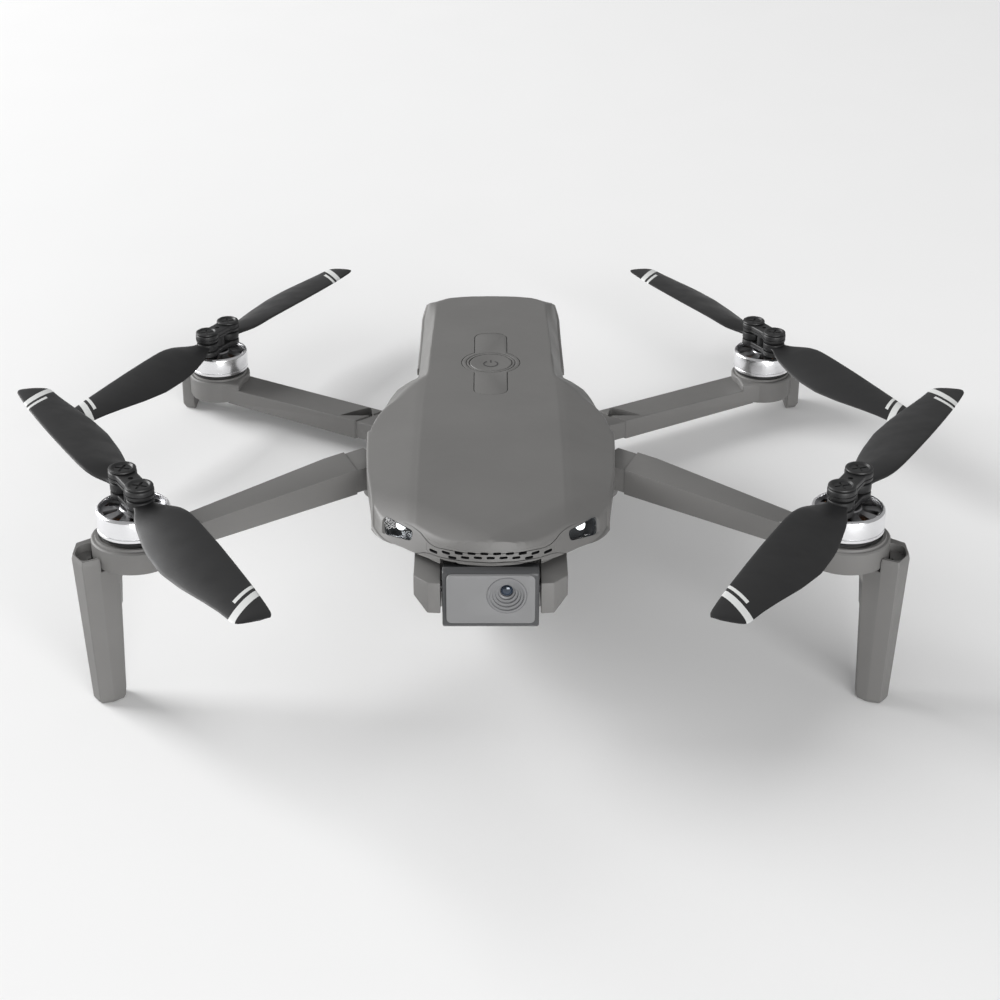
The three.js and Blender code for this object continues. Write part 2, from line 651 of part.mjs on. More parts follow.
// A blade along local +X from the motor axis. Its leading edge is on the +Y side where hand is 1.
function blade(hand) {
  const rings = BLADE_STATIONS.map(([u, leading, trailing, thickness, pitch]) => {
    const chord = leading - trailing;
    const section = [
      [leading, 0],
      [leading - chord / 4, thickness / 2],
      [trailing + chord / 3, thickness * 0.4],
      [trailing, 0],
      [trailing + chord / 3, -thickness * 0.4],
      [leading - chord / 4, -thickness / 2],
    ];
    const [c, s] = [Math.cos(radians(pitch)), Math.sin(radians(pitch))];
    return section.map(([v, h]) => new THREE.Vector3(u, hand * (v * c - h * s), BLADE_MID + v * s + h * c));
  });
  const root = cylinder(3.5, BLADE_MID - 1.15, BLADE_MID + 1.15, { x: PIVOT_R, sides: PIN_SIDES });
  const boltRoom = cylinder(HUB.boltR + GAP, 0, 9, { x: PIVOT_R, sides: PIN_SIDES });
  return cut(join(skin(rings, acrossX), root), boltRoom);
}

// ---------------------------------------------------------------- corners
function corner(name, sideX, sideY) {
  const hinge = sideY < 0 ? FRONT : REAR;
  const hingeX = sideX * hinge.hingeX;
  const motor = new THREE.Vector2(sideX * MOTOR_X, sideY * MOTOR_Y);
  const along = motor.clone().sub(new THREE.Vector2(hingeX, hinge.hingeY));
  const armGroup = place(hingeX, hinge.hingeY, 0, along.angle());
  const footSide = sideY < 0 ? 0 : sideX;
  piece(`arm_${name}`, arm(hinge, along.length(), sideX, footSide), SHELL_GREY, armGroup);
  const pin = cylinder(PIN_R, hinge.pinFrom, hinge.pinTo, { sides: PIN_SIDES });
  piece(`hinge_pin_${name}`, pin, STEEL, armGroup);

  const motorGroup = place(motor.x, motor.y, hinge.top, 0);
  piece(`motor_stator_${name}`, stator(), COPPER, motorGroup);
  piece(`motor_bell_${name}`, bell(), BELL_SILVER, motorGroup);

  const hand = sideX * sideY;
  const propGroup = place(0, 0, BELL_TOP, -PROP_TURN * hand, motorGroup);
  piece(`prop_hub_${name}`, propHub(), HUB_BLACK, propGroup);
  for (const [letter, halfTurn] of [["a", 0], ["b", Math.PI]]) {
    const half = place(0, 0, 0, halfTurn, propGroup);
    piece(`blade_${name}_${letter}`, blade(hand), BLADE_BLACK, half);
    const screw = place(PIVOT_R, 0, 0, 0, half);
    piece(`blade_screw_${name}_${letter}`, bladeScrew(), STEEL, screw);
  }
}

body();
camera();
for (const [across, sideX] of [["left", 1], ["right", -1]]) {
  corner(`front_${across}`, sideX, -1);
  corner(`rear_${across}`, sideX, 1);
  piece(`front_leg_${across}`, frontLeg(sideX), SHELL_GREY);
}

export default model;
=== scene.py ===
import math

import bmesh
import bpy
import numpy as np
from mathutils import Matrix, Vector


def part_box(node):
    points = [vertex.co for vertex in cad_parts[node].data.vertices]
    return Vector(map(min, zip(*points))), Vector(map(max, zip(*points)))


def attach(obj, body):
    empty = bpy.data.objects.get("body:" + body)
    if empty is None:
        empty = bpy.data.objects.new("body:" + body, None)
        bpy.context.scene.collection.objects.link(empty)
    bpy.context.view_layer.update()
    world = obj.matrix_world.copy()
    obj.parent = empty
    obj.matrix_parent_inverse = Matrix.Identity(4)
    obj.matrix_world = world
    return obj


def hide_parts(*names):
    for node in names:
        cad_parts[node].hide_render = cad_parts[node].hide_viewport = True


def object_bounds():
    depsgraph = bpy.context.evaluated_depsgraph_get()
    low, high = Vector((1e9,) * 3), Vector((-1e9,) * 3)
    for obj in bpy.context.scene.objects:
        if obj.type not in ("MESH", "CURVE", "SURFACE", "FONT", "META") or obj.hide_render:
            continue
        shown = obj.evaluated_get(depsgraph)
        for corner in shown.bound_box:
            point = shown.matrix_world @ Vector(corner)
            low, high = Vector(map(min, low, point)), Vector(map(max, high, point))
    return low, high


# The looks of a folding quadcopter drone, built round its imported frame. Shapes are worked out in
# millimetres in the frame's own axes: +Z up, nose towards -Y, the drone's left on +X. The right-hand
# pieces are mirror images of the left-hand ones.

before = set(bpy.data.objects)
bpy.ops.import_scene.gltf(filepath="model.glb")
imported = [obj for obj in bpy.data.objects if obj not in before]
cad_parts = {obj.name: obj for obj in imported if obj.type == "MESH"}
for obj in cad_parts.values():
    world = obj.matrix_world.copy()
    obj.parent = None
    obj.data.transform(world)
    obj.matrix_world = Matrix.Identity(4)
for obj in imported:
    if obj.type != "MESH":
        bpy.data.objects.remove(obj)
cad_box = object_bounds()

MM = 0.001


# ---------------------------------------------------------------- places taken from the frame
def span(node):
    """Lowest and highest corner of a CAD node in millimetres."""
    low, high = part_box(node)
    return np.array(low) / MM, np.array(high) / MM


def centre(node):
    low, high = span(node)
    return (low + high) / 2


TOP_Z = span("upper_shell")[1][2]
TAIL_Y = span("upper_shell")[1][1]
SEAM_Z = span("upper_shell")[0][2]
HINGE = {end: centre(f"hinge_pin_{end}_left") for end in ("front", "rear")}
MOTOR = {end: centre(f"motor_bell_{end}_left") for end in ("front", "rear")}
BELL_TOP = {end: span(f"motor_bell_{end}_left")[1][2] for end in ("front", "rear")}
POD_TOP = {end: span(f"arm_{end}_left")[1][2] for end in ("front", "rear")}
ARM_LOW = {"front": 40.5, "rear": 5.6}  # the arms' undersides
BUTTON = centre("power_button")
LENS = centre("lens_glass")
SENSOR = centre("belly_sensor")


# ---------------------------------------------------------------- curves
def smoothed(xs, ys, sigma, step=0.25):
    """The broken line through the points as a function, its corners rounded over about sigma."""
    order = np.argsort(xs)
    dense = np.arange(min(xs), max(xs) + step, step)
    values = np.interp(dense, np.array(xs)[order], np.array(ys)[order])
    reach = int(3 * sigma / step)
    kernel = np.exp(-0.5 * (np.arange(-reach, reach + 1) * step / sigma) ** 2)
    padded = np.pad(values, reach, mode="reflect", reflect_type="odd")
    soft = np.convolve(padded, kernel / kernel.sum(), mode="valid")
    return lambda x: np.interp(x, dense, soft)


def soft_min(a, b, blend):
    """The lower of two heights, with the edge between them rounded over a blend height."""
    h = np.clip(0.5 + 0.5 * (b - a) / blend, 0, 1)
    return b + (a - b) * h - blend * h * (1 - h)


def soft_max(a, b, blend):
    return -soft_min(-a, -b, blend)


def rounded(points, radius, steps=4):
    """A closed outline with each corner replaced by a curve that starts a radius away from it."""
    points = np.array(points, float)
    count = len(points)
    radii = np.broadcast_to(radius, count)
    outline = []
    for i, corner in enumerate(points):
        before = points[i - 1] - corner
        after = points[(i + 1) % count] - corner
        start = corner + before * min(0.45, radii[i] / np.linalg.norm(before))
        end = corner + after * min(0.45, radii[i] / np.linalg.norm(after))
        for t in np.linspace(0, 1, steps + 1):
            outline.append((1 - t) ** 2 * start + 2 * t * (1 - t) * corner + t**2 * end)
    return np.array(outline)


def arc(radius, start, end, steps, x=0.0, y=0.0):
    angles = np.radians(np.linspace(start, end, steps + 1))
    return np.column_stack([x + radius * np.cos(angles), y + radius * np.sin(angles)])


def slot_outline(length, width, steps=12):
    """A slot with round ends, lying along X and centred on the origin."""
    reach = (length - width) / 2
    return np.vstack([arc(width / 2, -90, 90, steps, reach), arc(width / 2, 90, 270, steps, -reach)])


# ---------------------------------------------------------------- meshes
def linked(name, data):
    """A new object in the scene for a mesh, light or camera."""
    obj = bpy.data.objects.new(name, data)
    bpy.context.scene.collection.objects.link(obj)
    return obj


def new_object(name, points, faces):
    mesh = bpy.data.meshes.new(name)
    mesh.from_pydata((np.asarray(points, float) * MM).tolist(), [], faces)
    return outward(linked(name, mesh))


def outward(obj):
    """Turns every face's normal to the outside."""
    bm = bmesh.new()
    bm.from_mesh(obj.data)
    bmesh.ops.recalc_face_normals(bm, faces=bm.faces)
    bm.to_mesh(obj.data)
    bm.free()
    return obj


def loft(name, rings):
    """A skin over closed rings of equal length, capped at both ends."""
    rings = np.asarray(rings, float)
    count, n = rings.shape[:2]
    faces = []
    for i in range(count - 1):
        for j in range(n):
            a, b = i * n + j, i * n + (j + 1) % n
            faces.append((a, b, b + n, a + n))
    faces.append(tuple(range(n)))
    faces.append(tuple(range((count - 1) * n, count * n)))
    return new_object(name, rings.reshape(-1, 3), faces)


def prism(name, outline, z0, z1):
    """A slab across Z over an outline of (x, y) points."""
    return loft(name, [[(x, y, z) for x, y in outline] for z in (z0, z1)])


def along_y(name, outline, y0, y1):
    """A slab across Y over an outline of (x, z) points."""
    return loft(name, [[(x, y, z) for x, z in outline] for y in (y0, y1)])


def along_x(name, outline, x0, x1):
    """A slab across X over an outline of (y, z) points."""
    return loft(name, [[(x, y, z) for y, z in outline] for x in (x0, x1)])


def rod_y(name, radius, y0, y1, x, z, sides=48):
    return along_y(name, arc(radius, 0, 360 * (1 - 1 / sides), sides - 1, x, z), y0, y1)


def rod_z(name, radius, z0, z1, x, y, sides=48):
    return prism(name, arc(radius, 0, 360 * (1 - 1 / sides), sides - 1, x, y), z0, z1)


def box(name, low, high):
    (x0, y0, z0), (x1, y1, z1) = low, high
    return prism(name, [(x0, y0), (x1, y0), (x1, y1), (x0, y1)], z0, z1)


def lathe(name, profile, sides=64, middle=(0, 0, 0)):
    """A closed profile of (radius, z) points turned about Z. Points on the axis become poles."""
    points, faces, rows = [], [], []
    cx, cy, cz = middle
    for r, z in profile:
        if r < 1e-6:
            rows.append([len(points)] * sides)
            points.append((cx, cy, cz + z))
            continue
        rows.append(list(range(len(points), len(points) + sides)))
        angles = 2 * np.pi * np.arange(sides) / sides
        points.extend((cx + r * math.cos(a), cy + r * math.sin(a), cz + z) for a in angles)
    for i, row in enumerate(rows):
        after = rows[(i + 1) % len(rows)]
        for j in range(sides):
            k = (j + 1) % sides
            face = [row[j], row[k], after[k], after[j]]
            unique = list(dict.fromkeys(face))
            if len(unique) > 2:
                faces.append(unique)
    return new_object(name, points, faces)


def moved(obj, matrix):
    obj.data.transform(matrix)
    return obj


def shifted(obj, x=0.0, y=0.0, z=0.0):
    return moved(obj, Matrix.Translation((x * MM, y * MM, z * MM)))


def turned(obj, degrees, axis):
    return moved(obj, Matrix.Rotation(math.radians(degrees), 4, axis))


def bake(obj):
    """Applies the object's modifiers."""
    graph = bpy.context.evaluated_depsgraph_get()
    graph.update()
    baked = bpy.data.meshes.new_from_object(obj.evaluated_get(graph))
    obj.modifiers.clear()
    obj.data = baked
    return obj


def combine(obj, operation, others):
    for other in others:
        modifier = obj.modifiers.new(operation, "BOOLEAN")
        modifier.operation = operation
        modifier.solver = "MANIFOLD"
        modifier.object = other
        bake(obj)
        bpy.data.objects.remove(other)
    return obj


def cut(obj, *cutters):
    return combine(obj, "DIFFERENCE", cutters)


def join(obj, *others):
    return combine(obj, "UNION", others)


def soften(obj, width=0.25, segments=2, angle=32):
    """Rounds every edge sharper than an angle."""
    bm = bmesh.new()
    bm.from_mesh(obj.data)
    bmesh.ops.remove_doubles(bm, verts=bm.verts, dist=0.004 * MM)
    bmesh.ops.dissolve_limit(bm, angle_limit=math.radians(1), verts=bm.verts, edges=bm.edges)
    bm.to_mesh(obj.data)
    bm.free()
    modifier = obj.modifiers.new("soften", "BEVEL")
    modifier.width = width * MM
    modifier.segments = segments
    modifier.limit_method = "ANGLE"
    modifier.angle_limit = math.radians(angle)
    modifier.harden_normals = False
    return bake(obj)


def shade(obj, angle=35):
    obj.data.shade_smooth()
    obj.data.set_sharp_from_angle(angle=math.radians(angle))
    return obj


def merged(name, *objects):
    """Several separate solids as one object that keeps each one's material."""
    bm = bmesh.new()
    materials = []
    for obj in objects:
        offset = len(materials)
        materials.extend(obj.data.materials)
        start = len(bm.faces)
        bm.from_mesh(obj.data)
        bm.faces.ensure_lookup_table()
        for face in bm.faces[start:]:
            face.material_index += offset
        bpy.data.objects.remove(obj)
    mesh = bpy.data.meshes.new(name)
    bm.to_mesh(mesh)
    bm.free()
    for material in materials:
        mesh.materials.append(material)
    return linked(name, mesh)


def mirror_mesh(obj):
    """A copy of a piece's mesh on the other side of the centre plane."""
    mesh = obj.data.copy()
    mesh.transform(Matrix.Scale(-1, 4, (1, 0, 0)))
    mesh.flip_normals()
    return mesh


def mirror(obj):
    return linked(obj.name + "_twin", mirror_mesh(obj))


# ---------------------------------------------------------------- who moves with what
def dress(obj, finish, angle=35):
    """Gives a piece one finish and smooths the edges blunter than an angle."""
    obj.data.materials.clear()
    obj.data.materials.append(MATERIALS[finish])
    return shade(obj, angle)


def give(obj, body, slot, *nodes):
    """Puts a piece on its body. It stands for the CAD nodes named; its slot is not used."""
    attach(obj, body)
    if nodes:
        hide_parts(*nodes)
    return obj


def other_side(name):
    """A left-hand name as its mirror image's. Blades a and b change places in the mirror."""
    swapped = name.replace("left", "right")
    if swapped[-2:] in ("_a", "_b"):
        swapped = swapped[:-1] + ("b" if swapped[-1] == "a" else "a")
    return swapped


def give_both(obj, body, slot, *nodes):
    """Puts a left-hand piece on its body, and its mirror image on the right-hand body."""
    twin = linked(other_side(obj.name), mirror_mesh(obj))
    give(obj, body, slot, *nodes)
    give(twin, other_side(body), slot, *[other_side(node) for node in nodes])


# ---------------------------------------------------------------- finishes
class Finish:
    """A material's nodes, with a short way to add and link them."""

    def __init__(self, name):
        self.material = bpy.data.materials.new(name)
        self.material.use_nodes = True
        self.tree = self.material.node_tree
        self.shader = self.tree.nodes["Principled BSDF"]
        self.output = self.tree.nodes["Material Output"]
        self.coords = self.add("ShaderNodeTexCoord").outputs["Object"]

    def add(self, kind, links=None, **values):
        node = self.tree.nodes.new(kind)
        for key, value in values.items():
            if hasattr(node, key):
                setattr(node, key, value)
            else:
                node.inputs[key.replace("_", " ")].default_value = value
        for key, source in (links or {}).items():
            self.tree.links.new(source, node.inputs[key])
        return node

    def feed(self, socket, value):
        """Sets an input to a number, a colour or another node's output."""
        if isinstance(value, bpy.types.NodeSocket):
            self.tree.links.new(value, socket)
        elif isinstance(value, tuple):
            socket.default_value = (*value, 1)
        else:
            socket.default_value = value

    def noise(self, scale, detail=2.0, stretch=(1, 1, 1)):
        stretched = self.add("ShaderNodeMapping", {"Vector": self.coords}, Scale=stretch)
        node = self.add("ShaderNodeTexNoise", {"Vector": stretched.outputs[0]}, Scale=scale, Detail=detail)
        return node.outputs["Fac"]

    def ramp(self, source, low, high, start=0.35, end=0.65):
        """Maps a texture's middle range to values between low and high."""
        node = self.add("ShaderNodeMapRange", {"Value": source})
        for key, value in (("From Min", start), ("From Max", end), ("To Min", low), ("To Max", high)):
            node.inputs[key].default_value = value
        return node.outputs["Result"]

    def mix(self, factor, first, second):
        """A blend of two colours, either of which may be another node's output."""
        node = self.add("ShaderNodeMix", data_type="RGBA")
        self.feed(node.inputs[0], factor)
        self.feed(node.inputs[6], first)
        self.feed(node.inputs[7], second)
        return node.outputs[2]

    def math(self, operation, first, second):
        """One step of arithmetic on two values, either of which may be another node's output."""
        node = self.add("ShaderNodeMath", operation=operation)
        self.feed(node.inputs[0], first)
        self.feed(node.inputs[1], second)
        return node.outputs[0]

    def bump(self, height, depth_mm, strength=1.0):
        node = self.add("ShaderNodeBump", {"Height": height}, Strength=strength, Distance=depth_mm * MM)
        self.tree.links.new(node.outputs[0], self.shader.inputs["Normal"])

    def edges(self, radius_mm):
        """1 along sharp edges, 0 on flat faces."""
        geometry = self.add("ShaderNodeNewGeometry")
        soft = self.add("ShaderNodeBevel", samples=4, Radius=radius_mm * MM)
        dot = self.add("ShaderNodeVectorMath", operation="DOT_PRODUCT")
        self.tree.links.new(soft.outputs[0], dot.inputs[0])
        self.tree.links.new(geometry.outputs["Normal"], dot.inputs[1])
        return self.ramp(dot.outputs["Value"], 1, 0, 0.72, 0.99)

    def set(self, **values):
        for key, value in values.items():
            self.feed(self.shader.inputs[key.replace("_", " ")], value)


def tinted(colour, factor):
    return tuple(min(1.0, channel * factor) for channel in colour)


def moulded(name, colour, roughness, grain_mm=0.16, depth_mm=0.012, edge_wear_and_highlight=1.25):
    """Moulded plastic: fine spark-eroded grain, faint mottling, and sharp edges painted paler: a painted edge
    highlight, broken up like rubbed wear.
    """
    finish = Finish(name)
    mottle = finish.ramp(finish.noise(40, 3), 0, 1, 0.3, 0.7)
    body = finish.mix(mottle, tinted(colour, 0.955), tinted(colour, 1.045))
    # Painted edge highlight: sharp edges turn paler by the edge factor, in patches like rubbed wear.
    worn_and_highlit_edges = finish.math("MULTIPLY", finish.edges(0.3), finish.ramp(finish.noise(260, 2), 0.15, 0.75))
    grain = finish.noise(1 / (grain_mm * MM), 1.5)
    shine = finish.ramp(finish.noise(90, 3), roughness - 0.04, roughness + 0.05)
    finish.set(Base_Color=finish.mix(worn_and_highlit_edges, body, tinted(colour, edge_wear_and_highlight)), Roughness=shine)
    finish.set(Specular_IOR_Level=0.4)
    finish.bump(grain, depth_mm, 0.6)
    return finish.material


def machined(name, colour, roughness, stretch, scale=900, depth_mm=0.004):
    """Turned or brushed metal with fine tool lines along one direction."""
    finish = Finish(name)
    lines = finish.noise(scale, 2, stretch)
    finish.set(Base_Color=finish.mix(lines, tinted(colour, 0.9), tinted(colour, 1.06)), Metallic=1.0)
    finish.set(Roughness=finish.ramp(lines, roughness - 0.05, roughness + 0.07))
    finish.bump(lines, depth_mm, 0.5)
    return finish.material


# Two pale bands near each blade's tip, as (start, end) in mm from the motor at the leading edge.
STRIPES = {"wide": (62.8, 65.4), "thin": (60.2, 61.5)}
STRIPE_SLANT = 7.6  # how much farther out a stripe is at the trailing edge than at the leading one, mm
STRIPE_END = 0.62  # the thin stripe stops at this share of the chord


def blade_finish():
    """Satin black composite with two pale bands near the tip, placed by the blade's own UV map."""
    finish = Finish("blade")
    black = (0.017, 0.017, 0.0175)
    uv = finish.add("ShaderNodeUVMap")
    split = finish.add("ShaderNodeSeparateXYZ", {"Vector": uv.outputs[0]})
    along, across = split.outputs["X"], split.outputs["Y"]
    straight = finish.math("SUBTRACT", along, finish.math("MULTIPLY", across, STRIPE_SLANT))

    def band(start, end):
        beyond = finish.math("GREATER_THAN", straight, start)
        return finish.math("MULTIPLY", beyond, finish.math("LESS_THAN", straight, end))

    thin = finish.math("MULTIPLY", band(*STRIPES["thin"]), finish.math("LESS_THAN", across, STRIPE_END))
    stripe = finish.math("MAXIMUM", band(*STRIPES["wide"]), thin)
    sweep = finish.noise(60, 3, (1, 6, 1))
    base = finish.mix(sweep, tinted(black, 0.9), tinted(black, 1.12))
    finish.set(Base_Color=finish.mix(stripe, base, (0.66, 0.67, 0.66)))
    finish.set(Roughness=finish.ramp(finish.noise(150, 2), 0.4, 0.5), Specular_IOR_Level=0.3)
    finish.bump(finish.noise(4500, 1), 0.006, 0.5)
    return finish.material


def coated_glass(name, tint, rim_tint):
    """A dark coated lens whose reflection turns from one colour to another towards its rim."""
    finish = Finish(name)
    facing = finish.add("ShaderNodeLayerWeight", Blend=0.35).outputs["Facing"]
    smear = finish.ramp(finish.noise(500, 2), 0.03, 0.09)
    finish.set(Base_Color=finish.mix(facing, tint, rim_tint), Roughness=smear, Metallic=0.55)
    finish.set(Coat_Weight=1.0, Coat_Roughness=0.02)
    return finish.material


def clear_cover():
    """Thin clear plastic: see-through, with a reflection that grows towards grazing angles."""
    finish = Finish("clear_cover")
    through = finish.add("ShaderNodeBsdfTransparent", Color=(0.86, 0.88, 0.9, 1))
    gloss = finish.add("ShaderNodeBsdfGlossy", Roughness=0.04)
    haze = finish.ramp(finish.noise(700, 2), 0.0, 0.03)
    fresnel = finish.add("ShaderNodeFresnel", IOR=1.22)
    share = finish.math("ADD", fresnel.outputs[0], haze)
    blend = finish.add("ShaderNodeMixShader")
    for socket, source in zip(blend.inputs, (share, through.outputs[0], gloss.outputs[0])):
        finish.feed(socket, source)
    finish.feed(finish.output.inputs[0], blend.outputs[0])
    return finish.material


def lit_lamp():
    """The phosphor of a lit LED, glowing unevenly in fine spots."""
    finish = Finish("lit_lamp")
    spots = finish.ramp(finish.noise(900, 2), 2.2, 3.4)
    finish.set(Base_Color=(0.9, 0.9, 0.86), Emission_Color=(1.0, 0.99, 0.95), Emission_Strength=spots)
    return finish.material


def circuit_board():
    """Green solder mask over copper tracks and pads."""
    finish = Finish("circuit_board")
    tracks = finish.add("ShaderNodeTexBrick", {"Vector": finish.coords}, Scale=420.0, Mortar_Size=0.035)
    pads = finish.add("ShaderNodeTexVoronoi", {"Vector": finish.coords}, Scale=520.0)
    copper = finish.ramp(pads.outputs["Distance"], 1, 0, 0.16, 0.2)
    mask = finish.mix(tracks.outputs["Fac"], (0.02, 0.13, 0.07), (0.04, 0.2, 0.11))
    finish.set(Base_Color=finish.mix(copper, mask, (0.72, 0.56, 0.25)), Roughness=0.32)
    finish.bump(tracks.outputs["Fac"], 0.02, 0.6)
    return finish.material


SHELL = (0.146, 0.1435, 0.1395)  # the warm grey of the mouldings
# The edge factors passed to moulded() paint sharp edges paler: a painted edge highlight mixed with wear.
MATERIALS = {
    "shell": moulded("shell", SHELL, 0.5),
    "trim": moulded("trim", tinted(SHELL, 0.97), 0.46),
    "blade": blade_finish(),
    "hub": moulded("hub", (0.018, 0.018, 0.0185), 0.42, edge_wear_and_highlight=1.7),
    "camera": moulded("camera", (0.055, 0.056, 0.058), 0.4, edge_wear_and_highlight=1.8),
    "face": moulded("face", (0.182, 0.183, 0.185), 0.42, grain_mm=0.1, edge_wear_and_highlight=1.15),
    "lens_ring": moulded("lens_ring", (0.165, 0.166, 0.17), 0.34, grain_mm=0.1, edge_wear_and_highlight=1.3),
    "battery": moulded("battery", tinted(SHELL, 0.62), 0.5),
    "dark": moulded("dark", (0.012, 0.012, 0.013), 0.55),
    "ink": moulded("ink", (0.05, 0.05, 0.05), 0.5),
    "bell": machined("bell", (0.86, 0.86, 0.875), 0.2, (1, 1, 14)),
    "cap": machined("cap", (0.36, 0.36, 0.37), 0.33, (1, 1, 1), scale=700),
    "steel": machined("steel", (0.56, 0.56, 0.57), 0.28, (1, 1, 6)),
    "black_steel": machined("black_steel", (0.06, 0.06, 0.062), 0.35, (1, 1, 6)),
    "copper": machined("copper", (0.72, 0.36, 0.17), 0.3, (1, 1, 20), scale=500, depth_mm=0.03),
    "ceramic": moulded("ceramic", (0.5, 0.47, 0.38), 0.55),
    "lens": coated_glass("lens", (0.01, 0.018, 0.03), (0.16, 0.22, 0.34)),
    "board": circuit_board(),
    "cover": clear_cover(),
    "lamp": lit_lamp(),
}


# ---------------------------------------------------------------- top cover
# The cover is a wide, shallow lid with a narrower core below it that meets the lower shell.
EDGE_R = 0.8  # rounding of the cover's outer edge
BORDER_Z = 45.2  # where the shoulders' rear facets meet the outer edge
LOWEST_Z = 45.25  # the outside never comes below this
COVER_FLOOR = 44.4
COVER_COLUMNS, COVER_ROWS = 161, 330
CORE_HALF = 21.3
NOSE_BACK = -94.8  # the core ends here
# Half-widths by place along the body: the outline, and the ridges where the flat top ends.
BODY_HALF = smoothed(
    [-118, -112, -81, -74, -59, -46, -31, -26, -15, -7.3, -1.2, 4.1, 8.7, 12.5, 56, 63],
    [29.8, 29.8, 31, 31.6, 33.3, 34, 34.5, 34.4, 33.2, 32.2, 31.1, 29, 25.8, 22, 21.6, 21.5],
    0.9,
)
RIDGE_HALF = smoothed(
    [-112, -74, -44, -20, -2, 12.5, 57, 63],
    [18.6, 19.1, 19.2, 18.9, 18.3, 18, 16.8, 16],
    2,
)
REAR_SLOPE = smoothed([-60, -34, -30, -17, 3, 12, 63], [9, 6, 2.6, 0.95, 0.45, 0.36, 0.36], 1.5)
# The sloping front of the nose, seen from above: its upper and its lower edge, by distance from the middle.
NOSE_X = [0, 4.6, 9.8, 14, 18.8, 26, 29.9, 31.2, 34]
NOSE_TOP_Y = [-105.3, -104.9, -102.8, -99, -92.9, -85.6, -79.5, -74, -62]
NOSE_LOW_X = [0, 11, 19.7, 27, 29.4, 32, 36]
NOSE_LOW_Y = [-107.8, -106, -99.8, -92.3, -88.5, -78, -62]
NOSE_HIGH, NOSE_LOW = 52.6, 45.0


def symmetric(xs, ys, sigma):
    """A smoothed line through points on one side of the centre plane and their mirror images."""
    return smoothed([-x for x in reversed(xs[1:])] + list(xs), list(reversed(ys[1:])) + list(ys), sigma)


nose_top_y = symmetric(NOSE_X, NOSE_TOP_Y, 1.6)
nose_low_y = symmetric(NOSE_LOW_X, NOSE_LOW_Y, 1.6)


def nose_height(x, y):
    """The height of the nose's sloping front at a place seen from above."""
    top, low = nose_top_y(x), nose_low_y(x)
    return NOSE_HIGH - (NOSE_HIGH - NOSE_LOW) * (top - y) / (top - low)


def nose_front(x, z):
    """Where the sloping front of the nose is, at a place across and a height."""
    down = (NOSE_HIGH - z) / (NOSE_HIGH - NOSE_LOW)
    return nose_top_y(x) + (nose_low_y(x) - nose_top_y(x)) * down


# How far the crease where the tail starts bends forwards, by distance from the middle.
TAIL_CREASE = smoothed([0, 5.9, 10, 12.9, 15.8, 17.1, 18.5, 22], [0, 0.3, 1.2, 2.5, 5.2, 6.6, 7.6, 9.5], 0.7)


def tail_crease(x):
    """Where the top starts to fall towards the tail, seen from above."""
    return TAIL_Y - 2.5 - TAIL_CREASE(np.abs(x))


# The cover's faces, by how many mm they fall for each mm outwards, or backwards at the tail.
SHOULDER_FALL, SIDE_FALL = 0.232, 1.9
TAIL_SIDE_FALL, TAIL_EDGE_FALL = 0.55, 3.2
TAIL_TOP_FALL, TAIL_END_FALL = 0.33, 1.6
SHOULDER_FROM, TAIL_EDGE_FROM = 19.1, 19.4  # distances from the middle where those faces start
CROWN = 0.15  # how much the flat middle falls towards its ridges
TAIL_FROM, TAIL_BLEND = 36, 18  # the sides turn into the tail's gentler ones over this stretch
FRONT_CORNER, FRONT_DROOP = 72, 0.026  # the shoulders' front corners curve down beyond this diagonal


def cover_height(x, y):
    """The top cover's outside: a flat middle, sloping shoulders and sides, and a falling nose and tail."""
    across = np.abs(x)
    ridge = RIDGE_HALF(y)
    flat = TOP_Z - CROWN * (across / ridge) ** 2
    shoulder = TOP_Z - SHOULDER_FALL * (across - SHOULDER_FROM)
    rear = BORDER_Z + (BODY_HALF(y) - across) * REAR_SLOPE(y)
    side = TOP_Z - SIDE_FALL * (across - ridge)
    tail_side = TOP_Z - TAIL_SIDE_FALL * (across - ridge)
    tail_edge = TOP_Z - 1.5 - TAIL_EDGE_FALL * (across - TAIL_EDGE_FROM)
    towards_tail = np.clip((y - TAIL_FROM) / TAIL_BLEND, 0, 1)
    share = towards_tail**2 * (3 - 2 * towards_tail)
    side = side + (soft_min(tail_side, tail_edge, 1.6) - side) * share
    diagonal = (across - y) / math.sqrt(2)
    droop = FRONT_DROOP * np.maximum(0, diagonal - FRONT_CORNER) ** 2
    outer = soft_max(side, soft_min(shoulder, rear, 0.9), 1.3)
    height = soft_min(flat, outer, 0.45)
    behind = TOP_Z + 0.1 - TAIL_TOP_FALL * (y - tail_crease(x))
    end = TOP_Z - 1.2 - TAIL_END_FALL * (y - TAIL_Y + 1.9 + 0.006 * x * x)
    height = soft_min(height, soft_min(behind, end, 1.5), 0.5)
    height = soft_min(height - droop, nose_height(x, y), 0.7)
    return np.maximum(height, LOWEST_Z)


def cover_grid():
    """The cover's outside as a grid of points from tail to nose, its columns fitted to the outline."""
    xs = np.linspace(0, 31.5, 400)
    front_y = nose_low_y(xs) + EDGE_R
    share = xs / (BODY_HALF(front_y) - EDGE_R)
    across = np.linspace(-1, 1, COVER_COLUMNS)
    front = np.interp(np.abs(across), share, front_y)
    corner = np.clip((np.abs(across) - 0.7) / 0.3, 0, 1)
    tail = TAIL_Y - EDGE_R - 0.7 * across**2 - 5.4 * (1 - np.sqrt(1 - corner**2))
    y = tail + (front - tail) * np.linspace(0, 1, COVER_ROWS)[:, None]
    x = across * (BODY_HALF(y) - EDGE_R)
    return np.stack([x, y, cover_height(x, y)], axis=-1)


